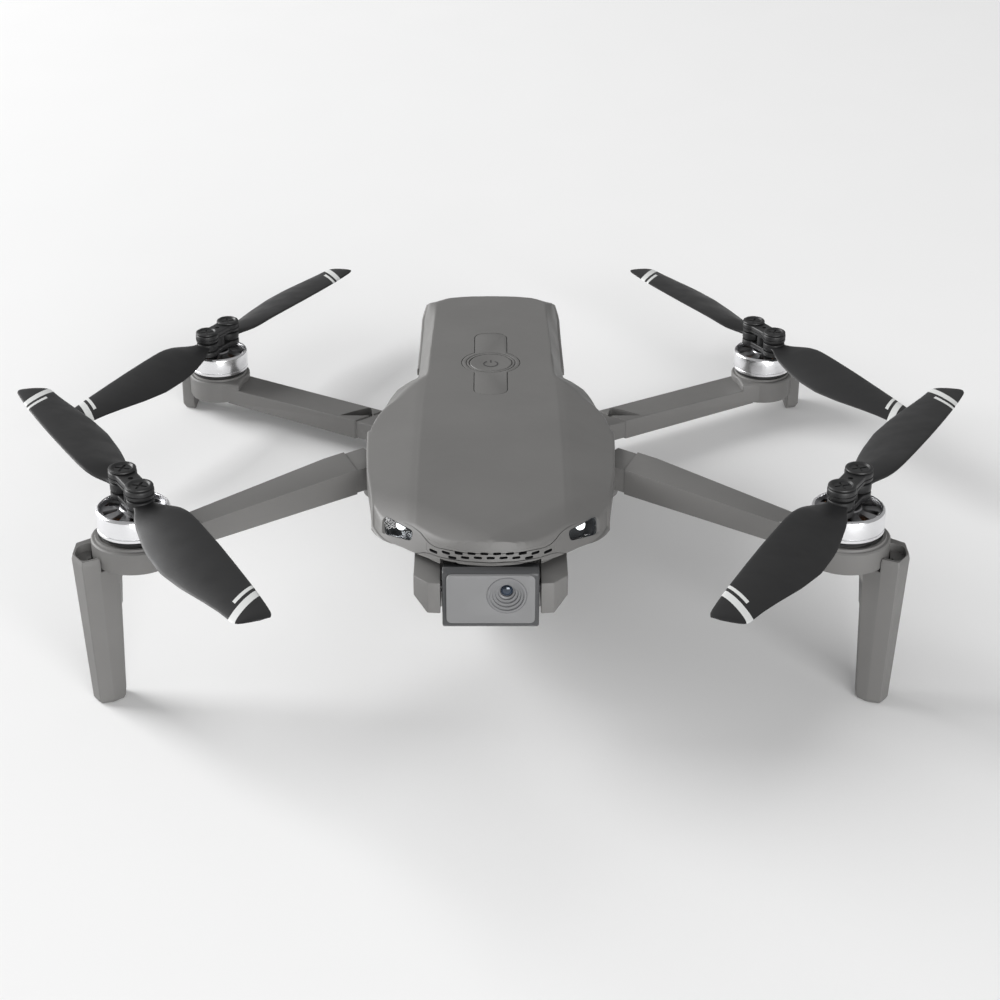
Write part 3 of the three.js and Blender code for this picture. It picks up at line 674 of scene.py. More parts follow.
def cover_block():
    """The cover without its hollow: the outside grid, its rounded edge, and a flat underside."""
    grid = cover_grid()
    index = np.arange(COVER_ROWS * COVER_COLUMNS).reshape(COVER_ROWS, COVER_COLUMNS)
    faces = [tuple(map(int, f)) for f in zip(
        index[:-1, :-1].ravel(), index[1:, :-1].ravel(), index[1:, 1:].ravel(), index[:-1, 1:].ravel())]
    border = np.concatenate([index[0, :-1], index[:-1, -1], index[-1, :0:-1], index[:0:-1, 0]])
    points = grid.reshape(-1, 3)
    loop = points[border]
    tangent = np.roll(loop, -1, axis=0)[:, :2] - np.roll(loop, 1, axis=0)[:, :2]
    normal = np.column_stack([tangent[:, 1], -tangent[:, 0]])
    normal /= np.linalg.norm(normal, axis=1)[:, None]
    outwards = np.sign(np.sum(normal[:, 0] * loop[:, 0]))
    rings = []
    for angle in (22.5, 45, 67.5, 90):
        lean = math.radians(angle)
        ring = loop.copy()
        ring[:, :2] += outwards * normal * EDGE_R * math.sin(lean)
        ring[:, 2] -= EDGE_R * (1 - math.cos(lean))
        rings.append(ring)
    last = rings[-1].copy()
    last[:, 2] = COVER_FLOOR
    rings.append(last)
    count = len(border)
    previous = [int(i) for i in border]
    everything = [points]
    for k, ring in enumerate(rings):
        start = len(points) + k * count
        current = list(range(start, start + count))
        for j in range(count):
            after = (j + 1) % count
            faces.append((previous[j], previous[after], current[after], current[j]))
        everything.append(ring)
        previous = current
    faces.append(tuple(previous))
    return new_object("top_cover", np.vstack(everything), faces), last[:, :2]


# Each arm runs from its hinge to its motor at this slope, angle and length.
ARM_SLOPE = (MOTOR["front"][1] - HINGE["front"][1]) / (MOTOR["front"][0] - HINGE["front"][0])
ARM_TURN = {end: math.degrees(math.atan2(*(MOTOR[end] - HINGE[end])[1::-1])) for end in MOTOR}
ARM_LENGTH = {end: math.hypot(*(MOTOR[end] - HINGE[end])[:2]) for end in MOTOR}
# The front arms fold under the cover in bays: the roof's height in front and behind, where it starts to
# fall and where it ends, the bay's floor and outer side, and the distance of its front wall from the hinge.
BAY_TOP, BAY_TOP_REAR = 48.6, 46.9
BAY_MIDDLE, BAY_REAR = -35, 16
BAY_FLOOR, BAY_OUTER, BAY_FRONT = 36, 60, 6.6


def front_bay():
    """The room for one front arm, as two cutters. The rear one's roof falls towards the tail."""
    hx, hy = HINGE["front"][:2]
    inner, outer = CORE_HALF + 0.1, BAY_OUTER

    def front_at(x):
        return hy - BAY_FRONT * math.hypot(1, ARM_SLOPE) + (x - hx) * ARM_SLOPE

    plan = [(inner, front_at(inner)), (outer, front_at(outer)), (outer, BAY_MIDDLE), (inner, BAY_MIDDLE)]
    front = prism("bay", plan, BAY_FLOOR, BAY_TOP)
    start = BAY_MIDDLE - 0.1
    side = [(start, BAY_TOP), (BAY_REAR, BAY_TOP_REAR), (BAY_REAR, BAY_FLOOR), (start, BAY_FLOOR)]
    return front, along_x("bay", side, inner, outer)


def nose_normal(x, z):
    """The outward direction of the nose's sloping front."""
    step = 0.2
    slope_x = (nose_front(x + step, z) - nose_front(x - step, z)) / (2 * step)
    slope_z = (nose_front(x, z + step) - nose_front(x, z - step)) / (2 * step)
    normal = np.array([slope_x, -1.0, slope_z])
    return normal / np.linalg.norm(normal)


def ribbon(path, normals, width, depth, rise=0.7):
    """A narrow cutter that follows a path lying on a surface."""
    path, normals = np.array(path, float), np.array(normals, float)
    along = np.gradient(path, axis=0)
    side = np.cross(along, normals)
    side *= width / 2 / np.linalg.norm(side, axis=1)[:, None]
    up, down = path + normals * rise, path - normals * depth
    rings = np.stack([up - side, up + side, down + side, down - side], axis=1)
    return loft("ribbon", rings)


def curve_through(points, count=40, sigma=0.35):
    """A smooth path through points."""
    points = np.array(points, float)
    lengths = np.concatenate([[0], np.cumsum(np.linalg.norm(np.diff(points, axis=0), axis=1))])
    along = np.linspace(0, lengths[-1], count)
    return np.column_stack([smoothed(lengths, column, sigma, 0.1)(along) for column in points.T])


# The joint between the cover and the nose piece below it: (x, z) on the sloping front.
TRIM_LINE = [(27.8, 51.0), (24.1, 50.7), (19.6, 50.75), (17.7, 50.4), (16.4, 49.6), (15.0, 49.05),
             (13.4, 49.0), (6.5, 49.4), (0, 49.6)]
TRIM_LOWER = [(20.6, 45.7), (19.2, 45.95), (17.9, 46.4), (17, 46.8), (15.4, 47.1), (12.7, 47.2), (6, 47.4),
              (0, 47.5)]
# The vents: distance between slots, the slots' length and width, and (count, height) of each row.
VENT_PITCH = 3.2
VENT_LENGTH, VENT_WIDTH = 2.1, 0.6
VENT_ROWS = [(10, 49.6), (7, 48.6)]
# Corners of the headlight window, (x, y, z), from its outer upper one inwards and round.
WINDOW = np.array([(27.2, -86.8, 50.3), (19.6, -94.6, 50.0), (20.1, -96.2, 47.9), (27.2, -90.0, 46.6)])
WINDOW_CORNER = 1.1


def on_nose(half):
    """A line on the nose's sloping front, from the (x, z) points of its left half."""
    return [(x, nose_front(x, z), z) for x, z in [*half, *[(-x, z) for x, z in half[-2::-1]]]]


def window_frame():
    """The middle of the headlight window and the direction it faces."""
    middle = WINDOW.mean(axis=0)
    normal = np.cross(WINDOW[2] - WINDOW[0], WINDOW[1] - WINDOW[3])
    normal /= np.linalg.norm(normal)
    return middle, normal if normal[1] < 0 else -normal


WINDOW_MIDDLE, WINDOW_NORMAL = window_frame()


def window_ring(grow, lift):
    """The headlight window's outline, grown in its own plane and lifted off the nose."""
    corners = []
    for corner in WINDOW:
        away = corner - WINDOW_MIDDLE
        corners.append(corner + away / np.linalg.norm(away) * grow + WINDOW_NORMAL * lift)
    return rounded(corners, WINDOW_CORNER, 3)


def window_block(grow_out, lift_out, grow_in, lift_in):
    """A block with the window's outline from one depth to another, grown differently at each."""
    return loft("window", [window_ring(grow_out, lift_out), window_ring(grow_in, lift_in)])


# The sloping strip outside the headlight window, from its upper to its lower corner.
STRIP = np.array([(28.7, -84.7, 50.2), (28.4, -88.4, 46.6)])


def bevel_wedge():
    """The cutter for the strip: flush at its outer edge, a millimetre deep at the window."""
    outer = [STRIP[0], STRIP[1]]
    inner = [WINDOW[3], WINDOW[0]]
    above = [*(p + WINDOW_NORMAL * 1.5 for p in outer), *(p + WINDOW_NORMAL * 1.5 for p in inner)]
    below = [*(p + WINDOW_NORMAL * 0.05 for p in outer), *(p - WINDOW_NORMAL * 1.1 for p in inner)]
    return loft("strip", [above, below])


def slot_lines():
    """The middle of each vent slot, as (x, z). The rows sag towards their ends."""
    for count, height in VENT_ROWS:
        for i in range(count):
            x = (i - (count - 1) / 2) * VENT_PITCH
            yield x, height - 0.0082 * x * x


RING_R, DISH_R = 8.5, 6.2  # radii of the panel's ring and of the button
BAR_HALF, BAR_FROM, BAR_TO, BAR_CORNER = 4.75, -17.0, 28.0, 3.4  # the panel's bar along the body


def plate_outline(grow):
    """The indicator panel seen from above: a bar with round corners crossed by a ring."""
    half, low, high = BAR_HALF + grow, BAR_FROM - grow, BAR_TO + grow
    ring = RING_R + grow
    meet = math.degrees(math.asin(half / ring))
    y = BUTTON[1]
    right = arc(ring, -90 + meet, 90 - meet, 20, 0, y)
    left = arc(ring, 90 + meet, 270 - meet, 20, 0, y)
    corner = BAR_CORNER + grow
    top = np.vstack([arc(corner, 0, 90, 6, half - corner, high - corner),
                     arc(corner, 90, 180, 6, corner - half, high - corner)])
    bottom = np.vstack([arc(corner, 180, 270, 6, corner - half, low + corner),
                        arc(corner, 270, 360, 6, half - corner, low + corner)])
    return np.vstack([right, top, left, bottom])


def battery_mouth():
    """The opening in the tail that the battery slides through, as (x, z) points."""
    half, low, high = 17.7, 25.1, 47.8
    return rounded([(half, low), (half, high), (-half, high), (-half, low)], 2.0)


def top_cover():
    """The whole upper moulding, hollow, with its openings and joint lines."""
    block, skirt = cover_block()
    tail = skirt[:COVER_COLUMNS]
    tail = tail[np.abs(tail[:, 0]) < CORE_HALF] - (0, 0.03)
    half = [(18.6, NOSE_BACK), (18.6, NOSE_BACK + 6), (CORE_HALF, -82), (CORE_HALF, tail[-1][1] - 1)]
    plan = [*half, *tail[::-1], *[(-x, y) for x, y in reversed(half)]]
    core = prism("core", plan, SEAM_Z + 0.05, 46)
    cover = join(block, core)
    panel = linked("vent_panel", cover.data.copy())
    inside = [(-19.4, 38), (19.4, 38), (19.4, 46), (16.6, 51.2), (-16.6, 51.2), (-19.4, 46)]
    cut(cover, along_y("inside", inside, -90, 59.5))
    for bay in front_bay():
        cut(cover, mirror(bay), bay)
    cut(cover, along_y("mouth", battery_mouth(), 41, 70))
    cut(cover, prism("plate_room", plate_outline(0.18), TOP_Z - 0.6, TOP_Z + 2))
    cut(cover, rod_z("button_room", DISH_R + 0.2, 40, TOP_Z + 2, 0, BUTTON[1]))
    cut(cover, box("camera_room", (-12.7, -115, 30), (12.7, -95.3, 46.9)))
    under = [(-76, 44), (-115, 44), (-115, 46.2), (-96, 46.0), (-82, 44.6)]
    cut(cover, along_x("under_nose", under, -40, 40))
    pocket = window_block(0, 2.5, 0, -4.2)
    cut(cover, mirror(pocket), pocket)
    slope = bevel_wedge()
    cut(cover, mirror(slope), slope)
    for half, count in ((TRIM_LINE, 90), (TRIM_LOWER, 60)):
        path = curve_through(on_nose(half), count)
        for part in (cover, panel):
            cut(part, ribbon(path, [nose_normal(x, z) for x, _, z in path], 0.2, 0.35))
    return cover, panel


def vent_panel(panel, cover):
    """The strip with the two rows of air slots, let into the nose."""
    def zone(grow):
        edge = 16.2 + grow
        low, high = 47.3 - grow, 50.0 + grow
        outline = rounded([(edge, high), (-edge, high), (-edge, low), (edge, low)], 0.8)
        back = [nose_front(x, z) + 1.6 for x, z in outline]
        front = [(x, -118, z) for x, z in outline]
        return loft("zone", [front, [(x, y, z) for (x, z), y in zip(outline, back)]])

    cut(cover, zone(0))
    combine(panel, "INTERSECT", [zone(-0.03)])
    for x, z in slot_lines():
        slot = along_y("slot", slot_outline(VENT_LENGTH, VENT_WIDTH, 5) + (x, z), -118, -96)
        cut(panel, slot)
    dress(panel, "shell")
    # The slots' side walls take the near-black finish: painted shade inside the slots.
    panel.data.materials.append(MATERIALS["dark"])
    for face in panel.data.polygons:
        x, _, z = face.center / MM
        near = [(abs(x - sx), abs(z - sz)) for sx, sz in slot_lines()]
        in_slot = any(dx < VENT_LENGTH / 2 + 0.02 and dz < VENT_WIDTH / 2 + 0.02 for dx, dz in near)
        if in_slot and abs(face.normal.y) < 0.5:
            face.material_index = 1
    return panel


def build_cover():
    cover, panel = top_cover()
    give(vent_panel(panel, cover), "airframe", "shell", "nose_trim")
    give(dress(cover, "shell", 28), "airframe", "shell", "upper_shell")


# ---------------------------------------------------------------- indicator panel and button
def build_indicator():
    """The panel let into the top, a raised ring round the button, and the button with its sign."""
    low, high = TOP_Z - 0.5, TOP_Z - 0.06
    y = BUTTON[1]
    plate = prism("indicator_panel", plate_outline(-0.05), low, high)
    groove = [(7.0, high - 0.28), (7.35, high - 0.28), (7.35, high + 1), (7.0, high + 1)]
    cut(plate, lathe("groove", groove, 96, (0, y, 0)))
    cut(plate, rod_z("hole", DISH_R + 0.25, 40, 60, 0, y, 96))
    soften(plate, 0.12, 2)
    give(dress(plate, "trim"), "airframe", "trim", "indicator_plate")
    base, top = (corner[2] for corner in span("power_button"))
    dish = [(0, base), (DISH_R - 0.5, base), (DISH_R, base + 0.4), (DISH_R, top - 0.2), (DISH_R - 0.2, top),
            (DISH_R - 0.9, top), (3.0, top - 0.42), (0, top - 0.5)]
    button = lathe("button", dish, 96, (0, y, 0))
    give(dress(button, "trim"), "power_button", "trim", "power_button")
    low, high = top - 0.47, top - 0.38
    section = [(1.85, low), (2.2, low), (2.2, high), (1.85, high)]
    ring = loft("power_sign", [[(r * c, y + r * s, z) for r, z in section] for c, s in arc(1, 125, 415, 40)])
    bar = box("bar", (-0.17, y + 1.0, low), (0.17, y + 2.7, high))
    sign = join(ring, bar)
    give(dress(sign, "ink"), "power_button", "trim")


# ---------------------------------------------------------------- headlights
def build_headlights():
    """One headlight each side: a dark case, a lit LED at the window's upper edge, and a clear cover."""
    case = window_block(-0.12, -0.9, -0.12, -4.1)
    case.name = "headlight_case_left"
    cut(case, window_block(-0.6, 1, -1.4, -3.6))
    give_both(dress(case, "dark"), "airframe", "shell")
    across = WINDOW[1] - WINDOW[0]
    across /= np.linalg.norm(across)
    down = np.cross(WINDOW_NORMAL, across)
    down *= -np.sign(down[2])
    led = lathe("led", [(0, 0), (1.5, 0), (1.5, 0.5), (1.25, 0.9), (0.7, 1.1), (0, 1.2)], 40)
    cut(led, box("upper_half", (-3, -3, -1), (3, 0, 3)))
    led.name = "lamp_left"
    led_at = WINDOW[0] * 0.56 + WINDOW[1] * 0.44 - WINDOW_NORMAL * 2.1 + down * 0.1
    basis = Matrix(np.column_stack([across, down, WINDOW_NORMAL]).tolist()).to_4x4()
    moved(led, Matrix.Translation(Vector((led_at * MM).tolist())) @ basis)
    give_both(dress(outward(led), "lamp"), "airframe", "lamp", "headlight_led_left")
    cover = window_block(-0.1, 0.05, -0.1, -0.55)
    cover.name = "headlight_cover_left"
    soften(cover, 0.12, 2)
    give_both(dress(cover, "cover"), "airframe", "lamp_lens", "headlight_lens_left")


# ---------------------------------------------------------------- lower shell
HULL_Y = [61.2, 56, 20, -40, -75, -94.5]
# At each place along the body: half-width at the seam, half-width and height of the side's lower edge,
# half-width and height of the bottom.
HULL = {
    "seam": [19, 19.7, 19.7, 19.7, 19.5, 19.2],
    "side": [19, 19.7, 19.7, 19.7, 18.6, 17],
    "side_z": [11, 9, 9, 13, 22, 34],
    "bottom": [14, 15.5, 15.5, 15, 13.5, 12],
    "bottom_z": [7, 4.6, 4.6, 8, 16, 29],
}
HULL_AT = {key: smoothed(HULL_Y, values, 2.5) for key, values in HULL.items()}
FRONT_EAR = (36.7, 39.9)  # the lugs that hold the hinge pins, as (low, high)
REAR_EARS = [(14.0, 15.8), (2.4, 5.3)]
PIN_ROOM = 2.05  # radius of the pins' holes


def hull_ring(y, inset=0.0):
    """The lower shell's cross-section at a place along the body, or one that lies inside it."""
    seam, side, side_z, low, low_z = (float(HULL_AT[k](y)) for k in HULL)
    half = [(low - inset / 2, low_z + inset), (side - inset, side_z + inset / 2)]
    half.append((seam - inset, SEAM_Z - 0.05))
    points = half + [(-x, z) for x, z in reversed(half)]
    return [(x, y, z) for x, z in rounded(points, [2.2, 2.2, 0.2, 0.2, 2.2, 2.2], 5)]


def ear(end, inner, z0, z1):
    """A lug that reaches from inside the hull to round a hinge pin."""
    x, y = HINGE[end][:2]
    reach = 6.1 if end == "front" else 4.6
    plan = [(inner, y - reach), *arc(reach, -90, 90, 24, x, y), (inner, y + reach)]
    return soften(prism("ear", plan, z0, z1), 0.5, 3)


def build_hull():
    ys = [61.2, 60.7, *np.linspace(59.5, -93.8, 46), -94.5]
    insets = [0.9, 0.2, *[0] * 46, 0.6]
    hull = loft("bottom_cover", [hull_ring(y, inset) for y, inset in zip(ys, insets)])
    low, high = FRONT_EAR
    ears = [ear("front", 15, low, high), ear("rear", 15, *REAR_EARS[0]), ear("rear", 8, *REAR_EARS[1])]
    for part in ears:
        join(hull, mirror(part), part)
    cut(hull, loft("room", [[(x, y, z + (0.3 if z > 39 else 0)) for x, _, z in hull_ring(y, 1.6)]
                            for y in np.linspace(59.6, -92.5, 24)]))
    cut(hull, along_y("mouth", battery_mouth(), 41, 70))
    y = SENSOR[1]
    cut(hull, box("window", (-7, y - 11, 0), (7, y + 11, 12)))
    for side in (1, -1):
        for end, z0, z1 in (("front", 36.6, 41), ("rear", 2.5, 18.2)):
            x, pin_y = HINGE[end][:2]
            cut(hull, rod_z("hole", PIN_ROOM, z0, z1, side * x, pin_y))
    for k in range(3):
        cut(hull, shifted(prism("grille", slot_outline(22, 1.4), -2, 20), 0, 22 + 4 * k))
    give(dress(hull, "shell", 30), "airframe", "shell", "lower_shell")


def build_pins():
    for end in ("front", "rear"):
        low, high = span(f"hinge_pin_{end}_left")
        x, y = HINGE[end][:2]
        r = (high[0] - low[0]) / 2
        z0, z1 = low[2], high[2]
        profile = [(0, z0), (r - 0.3, z0), (r, z0 + 0.3), (r, z1 - 0.3), (r - 0.3, z1), (0.9, z1),
                   (0.6, z1 - 0.5), (0, z1 - 0.6)]
        pin = lathe(f"pivot_{end}_left", profile, 40, (x, y, 0))
        give_both(dress(pin, "steel"), "airframe", "steel", f"hinge_pin_{end}_left")


# ---------------------------------------------------------------- camera
# The tilt axis, and the camera body's half-width, front, bottom and top.
CAM = {"y": -104.3, "z": 39.3, "half": 12.1, "front": -112.6, "bottom": 31.2, "top": 47.3}
DISH_ROOM = 5.0  # radius of the round opening for the lens
SHAFT_ROOM = 1.9  # radius of the hole for the tilt shaft


def build_camera():
    front, top, bottom, half = CAM["front"], CAM["top"], CAM["bottom"], CAM["half"]
    drum = arc(5.9, -80, 90, 20, CAM["y"], CAM["z"])
    outline = [(front + 1.2, top - 0.7), (front + 1.0, bottom + 1.2), (front + 2.2, bottom),
               (front + 5, bottom), *drum, (CAM["y"] - 3.2, CAM["z"] + 5.9), (front + 4.4, top - 0.05),
               (front + 1.9, top - 0.05)]
    body = along_x("camera_body", outline, -half, half)
    soften(body, 0.7, 3, 25)
    lens_x, lens_z = LENS[0], LENS[2]
    cut(body, rod_y("lens_room", DISH_ROOM, front - 3, front + 6, lens_x, lens_z, 64))
    cut(body, shaft_rod(SHAFT_ROOM, 60))
    give(dress(body, "camera"), "camera", "camera", "camera_housing")
    side, low, high = half - 1.05, bottom + 2.2, top - 0.45
    plate = rounded([(-side, low), (side, low), (side, high), (-side, high)], 1.5, 6)
    face = along_y("camera_plate", plate, front, front + 1.1)
    cut(face, rod_y("hole", DISH_ROOM, front - 3, front + 6, lens_x, lens_z, 96))
    soften(face, 0.3, 3)
    give(dress(face, "face"), "camera", "face", "camera_face")
    steps = [(4.97, 4.4), (4.97, 0.25), (4.85, 0.12), (4.5, 0.05)]
    for i in range(4):
        r = 4.35 - 0.7 * i
        steps += [(r, 0.1 + 0.6 * i), (r - 0.06, 0.6 + 0.6 * i), (r - 0.12, 0.66 + 0.6 * i)]
    steps += [(1.7, 2.6), (1.62, 3.4), (0, 3.4), (0, 4.4)]
    barrel = lathe("lens_dish", [(r, -depth) for r, depth in steps], 96)
    turned(barrel, 90, "X")
    shifted(barrel, lens_x, front - 0.2, lens_z)
    give(dress(barrel, "lens_ring"), "camera", "camera", "lens_barrel")
    bulge = [(0, -3.3), (1.5, -3.3), (1.5, -2.9), (1.3, -2.62), (0.9, -2.4), (0.4, -2.3), (0, -2.27)]
    glass = lathe("lens_front", bulge, 48)
    turned(glass, 90, "X")
    shifted(glass, lens_x, front - 0.2, lens_z)
    give(dress(glass, "lens", 60), "camera", "lens", "lens_glass")
    give(dress(soften(shaft_rod(1.6, 34), 0.3), "steel"), "camera", "steel", "tilt_shaft")


def shaft_rod(radius, length):
    """A rod along the camera's tilt axis."""
    outline = arc(radius, 0, 350, 35, CAM["y"], CAM["z"])
    return along_x("camera_shaft", outline, -length / 2, length / 2)


def build_cheeks():
    """The bracket that carries the camera between two cheeks."""
    inner, outer, nose, bottom, top = 12.55, 19.35, -111.4, 35.5, 44.1
    plan = [(inner, nose), (outer - 3.6, nose + 0.3), (outer, nose + 4.2), (outer, -94.9), (inner, -94.9)]
    cheek = prism("camera_cheeks", plan, bottom, top)
    corner = [(outer + 1, bottom - 1), (outer + 1, bottom + 3.9), (outer - 4.5, bottom - 1)]
    cut(cheek, along_y("corner", corner, nose - 1, -94))
    soften(cheek, 0.35, 3)
    other = mirror(cheek)
    back = soften(box("back", (-inner - 2, -95.9, bottom + 0.5), (inner + 2, -94.95, top - 0.5)), 0.2)
    bracket = join(cheek, other, back)
    cut(bracket, shaft_rod(SHAFT_ROOM, 60))
    give(dress(bracket, "shell"), "airframe", "shell", "camera_bracket")


# ---------------------------------------------------------------- arms
def place_arm(obj, end):
    """From the arm's own frame, u along it and v towards the tail, to its place on the drone."""
    x, y = HINGE[end][:2]
    turned(obj, ARM_TURN[end], "Z")
    return shifted(obj, x, y)


def front_section(u, inset=0.0):
    """A front arm's cross-section at a distance from its hinge: (v, z) points, upper rear edge cut off."""
    along = np.clip((u - 9.5) / 48.5, 0, 1.2)
    chamfer = np.clip((u - 14.6) / 43.4, 0.01, 1.2)
    front, back = -3.3 - 0.8 * along, 8.1 - 0.9 * along
    low, top = ARM_LOW["front"], 47.9 - 1.3 * along
    points = [(front + inset, low + inset), (back - inset, low + inset)]
    points += [(back - inset, top - inset - 3.0 * chamfer), (back - inset - 3.8 * chamfer, top - inset)]
    points += [(front + inset, top - inset)]
    return points


def beam(name, section, us, lean=lambda v: 0.0, inset=0.0):
    """An arm's long part through cross-sections. The first one leans along the arm by lean(v)."""
    rings = [[(us[0] + lean(v), v, z) for v, z in section(us[0], inset)]]
    rings += [[(u, v, z) for v, z in section(u, inset)] for u in us[1:]]
    return loft(name, rings)


def pod_profile(radius, bottom, top):
    """The round motor seat at an arm's end, with a thin raised lip."""
    return [(0, bottom), (radius - 1.1, bottom), (radius - 0.3, bottom + 0.3), (radius, bottom + 1.1),
            (radius, top - 1.0), (radius - 0.35, top - 0.65), (radius - 1.0, top - 0.55), (radius - 1.2, top),
            (radius - 2.0, top), (radius - 2.2, top - 0.6), (0, top - 0.6)]


def build_front_arm():
    length = ARM_LENGTH["front"]
    main = beam("front_arm", front_section, [11.2, 14.6, *np.linspace(20, 66, 9)],
                lambda v: -3.0 * min(1.0, max(0.0, (v + 1) / 7.3)))
    soften(main, 0.45, 3, 25)
    root = soften(beam("root", front_section, [2.0, 16.0], inset=0.3), 0.4, 3, 25)
    low = ARM_LOW["front"]
    boss = soften(rod_z("boss", 5.8, low, 47.5, 0, 0), 0.4, 3)
    pod = lathe("pod", pod_profile(11.3, low, POD_TOP["front"]), 96, (length, 0, 0))
    block_plan = [(-14, -4.1), (-4, -9.6), (4, -9.8), (4, 0), (-14, 0)]
    block = soften(prism("block", [(length + u, v) for u, v in block_plan], low, 46.0), 0.5, 3)
    shelf_plan = [(-17.5, -3.9), (-14.0, 3.2), (-6, 7.0), (0, 0), (-6, -5.6)]
    shelf = soften(prism("shelf", [(length + u, v) for u, v in shelf_plan], 43, 46.9), 0.35, 3)
    arm = join(main, root, boss, pod, block, shelf)
    cut(arm, rod_z("hole", PIN_ROOM, 39, 50, 0, 0))
    cut(arm, lathe("ring", [(7.1, 46.3), (7.7, 46.3), (7.7, 50), (7.1, 50)], 64, (length, 0, 0)))
    arm.name = "arm_shell_front_left"
    place_arm(arm, "front")
    give_both(dress(arm, "shell"), "arm_front_left", "shell", "arm_front_left")


def rear_section(u, inset=0.0):
    """A rear arm's cross-section at a distance from its hinge, with a small cut along its upper rear edge."""
    along = np.clip((u - 14) / 52, 0, 1)
    front, back = -6.2, 6.1 + 1.3 * along
    low, top = ARM_LOW["rear"], 12.2 - 1.2 * along
    points = [(front + inset, low + inset), (back - inset, low + inset)]
    points += [(back - inset, top - inset - 1.0), (back - inset - 1.2, top - inset)]
    points += [(front + inset, top - inset)]
    return points


def build_rear_arm():
    length = ARM_LENGTH["rear"]
    main = beam("rear_arm", rear_section, [15.6, *np.linspace(18, 68, 10)],
                lambda v: -3.4 * min(1.0, max(0.0, (v + 2) / 6)))
    soften(main, 0.45, 3, 25)
    root = soften(beam("root", rear_section, [2.0, 18.0], inset=0.35), 0.4, 3, 25)
    low = ARM_LOW["rear"]
    boss = soften(rod_z("boss", 5.8, low, 13.6, 0, 0), 0.4, 3)
    pod = lathe("pod", pod_profile(10.0, low, POD_TOP["rear"]), 96, (length, 0, 0))
    step_plan = [(-12.5, -5.9), (0, -9.2), (0, 9.2), (-7, 7.2)]
    step = soften(prism("step", [(length + u, v) for u, v in step_plan], 6.4, 13.0), 0.6, 3)
    foot_plan = [(6.5, -6.5), (10.6, -7.5), (15.1, -0.4), (11.6, 2.6)]
    outline = rounded([(length + u, v) for u, v in foot_plan], 0.8, 4)
    sole = [(length + 0.9 + (u - length) * 0.9, v * 0.86) for u, v in outline]
    levels = [(0.0, sole), (1.6, outline), (11.4, outline), (12.7, outline)]
    foot = loft("foot", [[(u, v, z) for u, v in plan] for z, plan in levels])
    arm = join(main, root, boss, pod, step, soften(foot, 0.5, 3, 25))
    hook = rounded([(17.4, 5.2), (12.8, 0.2), (22.6, -5.4), (20.2, 0.4)], 1.0, 5)
    cut(arm, prism("hook", hook, 9.8, 14))
    cut(arm, rod_z("hole", PIN_ROOM, 3, 20, 0, 0))
    cut(arm, lathe("ring", [(6.8, 12.5), (7.4, 12.5), (7.4, 16), (6.8, 16)], 64, (length, 0, 0)))
    arm.name = "arm_shell_rear_left"
    place_arm(arm, "rear")
    give_both(dress(arm, "shell"), "arm_rear_left", "shell", "arm_rear_left")


# ---------------------------------------------------------------- front legs
LEG_Z = 44  # the height of the leg's top
LEG_TOP = [(106.8, -96), (103.2, -101.1), (99.2, -99.2), (94.8, -95.2), (95.6, -89), (103, -86.5),
           (106.8, -89.5)]
LEG_FOOT = [(104.7, -94.6), (102.4, -97.4), (98.8, -96.4), (96.3, -94), (96.8, -89.8), (101.8, -88.6),
            (104.7, -90.6)]


def leg_plan(z, shrink=0.0):
    """The leg's outline at a height, drawn in towards its middle by a share."""
    foot, top = np.array(LEG_FOOT), np.array(LEG_TOP)
    plan = foot + (top - foot) * (z / LEG_Z)
    middle = plan.mean(axis=0)
    return middle + (plan - middle) * (1 - shrink)


def build_front_leg():
    levels = [(0, 0.1), (0.9, 0.0), *[(z, 0.0) for z in np.linspace(6, 42.6, 8)], (LEG_Z, 0.07)]
    rings = [[(x, y, z) for x, y in rounded(leg_plan(z, shrink), 0.25, 1)] for z, shrink in levels]
    leg = soften(loft("front_leg", rings), 0.15, 2, 40)
    gusset = [(95.8, 26.5), (95.3, 35), (93.6, 38.6), (90.5, 40.2), (90.5, 41.6), (100, 41.6), (100, 26.5)]
    join(leg, soften(along_y("gusset", gusset, -95.2, -89.4), 0.3))
    x, y = MOTOR["front"][:2]
    cut(leg, rod_z("pod_room", 11.6, 40.2, 50, x, y, 96))
    pocket = rounded(leg_plan(LEG_Z, 0.3), 1.4, 4) + (0.7, -0.9)
    cut(leg, prism("pocket", pocket, 41.8, 46))
    px, py = pocket.mean(axis=0)
    cut(leg, rod_z("screw_hole", 0.75, 40, 46, px, py, 32))
    leg.name = "leg_shell_left"
    give_both(dress(leg, "shell", 16), "arm_front_left", "shell", "front_leg_left")


# ---------------------------------------------------------------- motors
def at_motor(obj, end, turn=0.0):
    """From the motor's own frame, z up from the pod's top, to its place."""
    x, y = MOTOR[end][:2]
    turned(obj, turn, "Z")
    return shifted(obj, x, y, POD_TOP[end])


COILS = 9


def build_stator(end):
    """The standing part: a black base, and coils with their steel shoes."""
    base = lathe("base", [(1.4, 0.3), (8.6, 0.3), (8.8, 0.45), (8.8, 0.75), (8.6, 0.9), (3.4, 0.95),
                          (3.2, 1.2), (3.2, 5.5), (1.4, 5.6)], 64)
    dress(base, "hub")
    coils = []
    for k in range(COILS):
        coil = soften(box("coil", (3.3, -0.95, 1.5), (6.2, 0.95, 5.2)), 0.4, 3)
        shoe = soften(box("shoe", (6.3, -1.9, 1.7), (6.95, 1.9, 5.0)), 0.15, 2)
        dress(coil, "copper")
        dress(shoe, "black_steel")
        coils += [turned(part, 360 / COILS * k, "Z") for part in (coil, shoe)]
    stator = merged(f"stator_{end}_left", base, *coils)
    at_motor(stator, end)
    shade(stator)
    give_both(stator, f"arm_{end}_left", "windings", f"motor_stator_{end}_left")


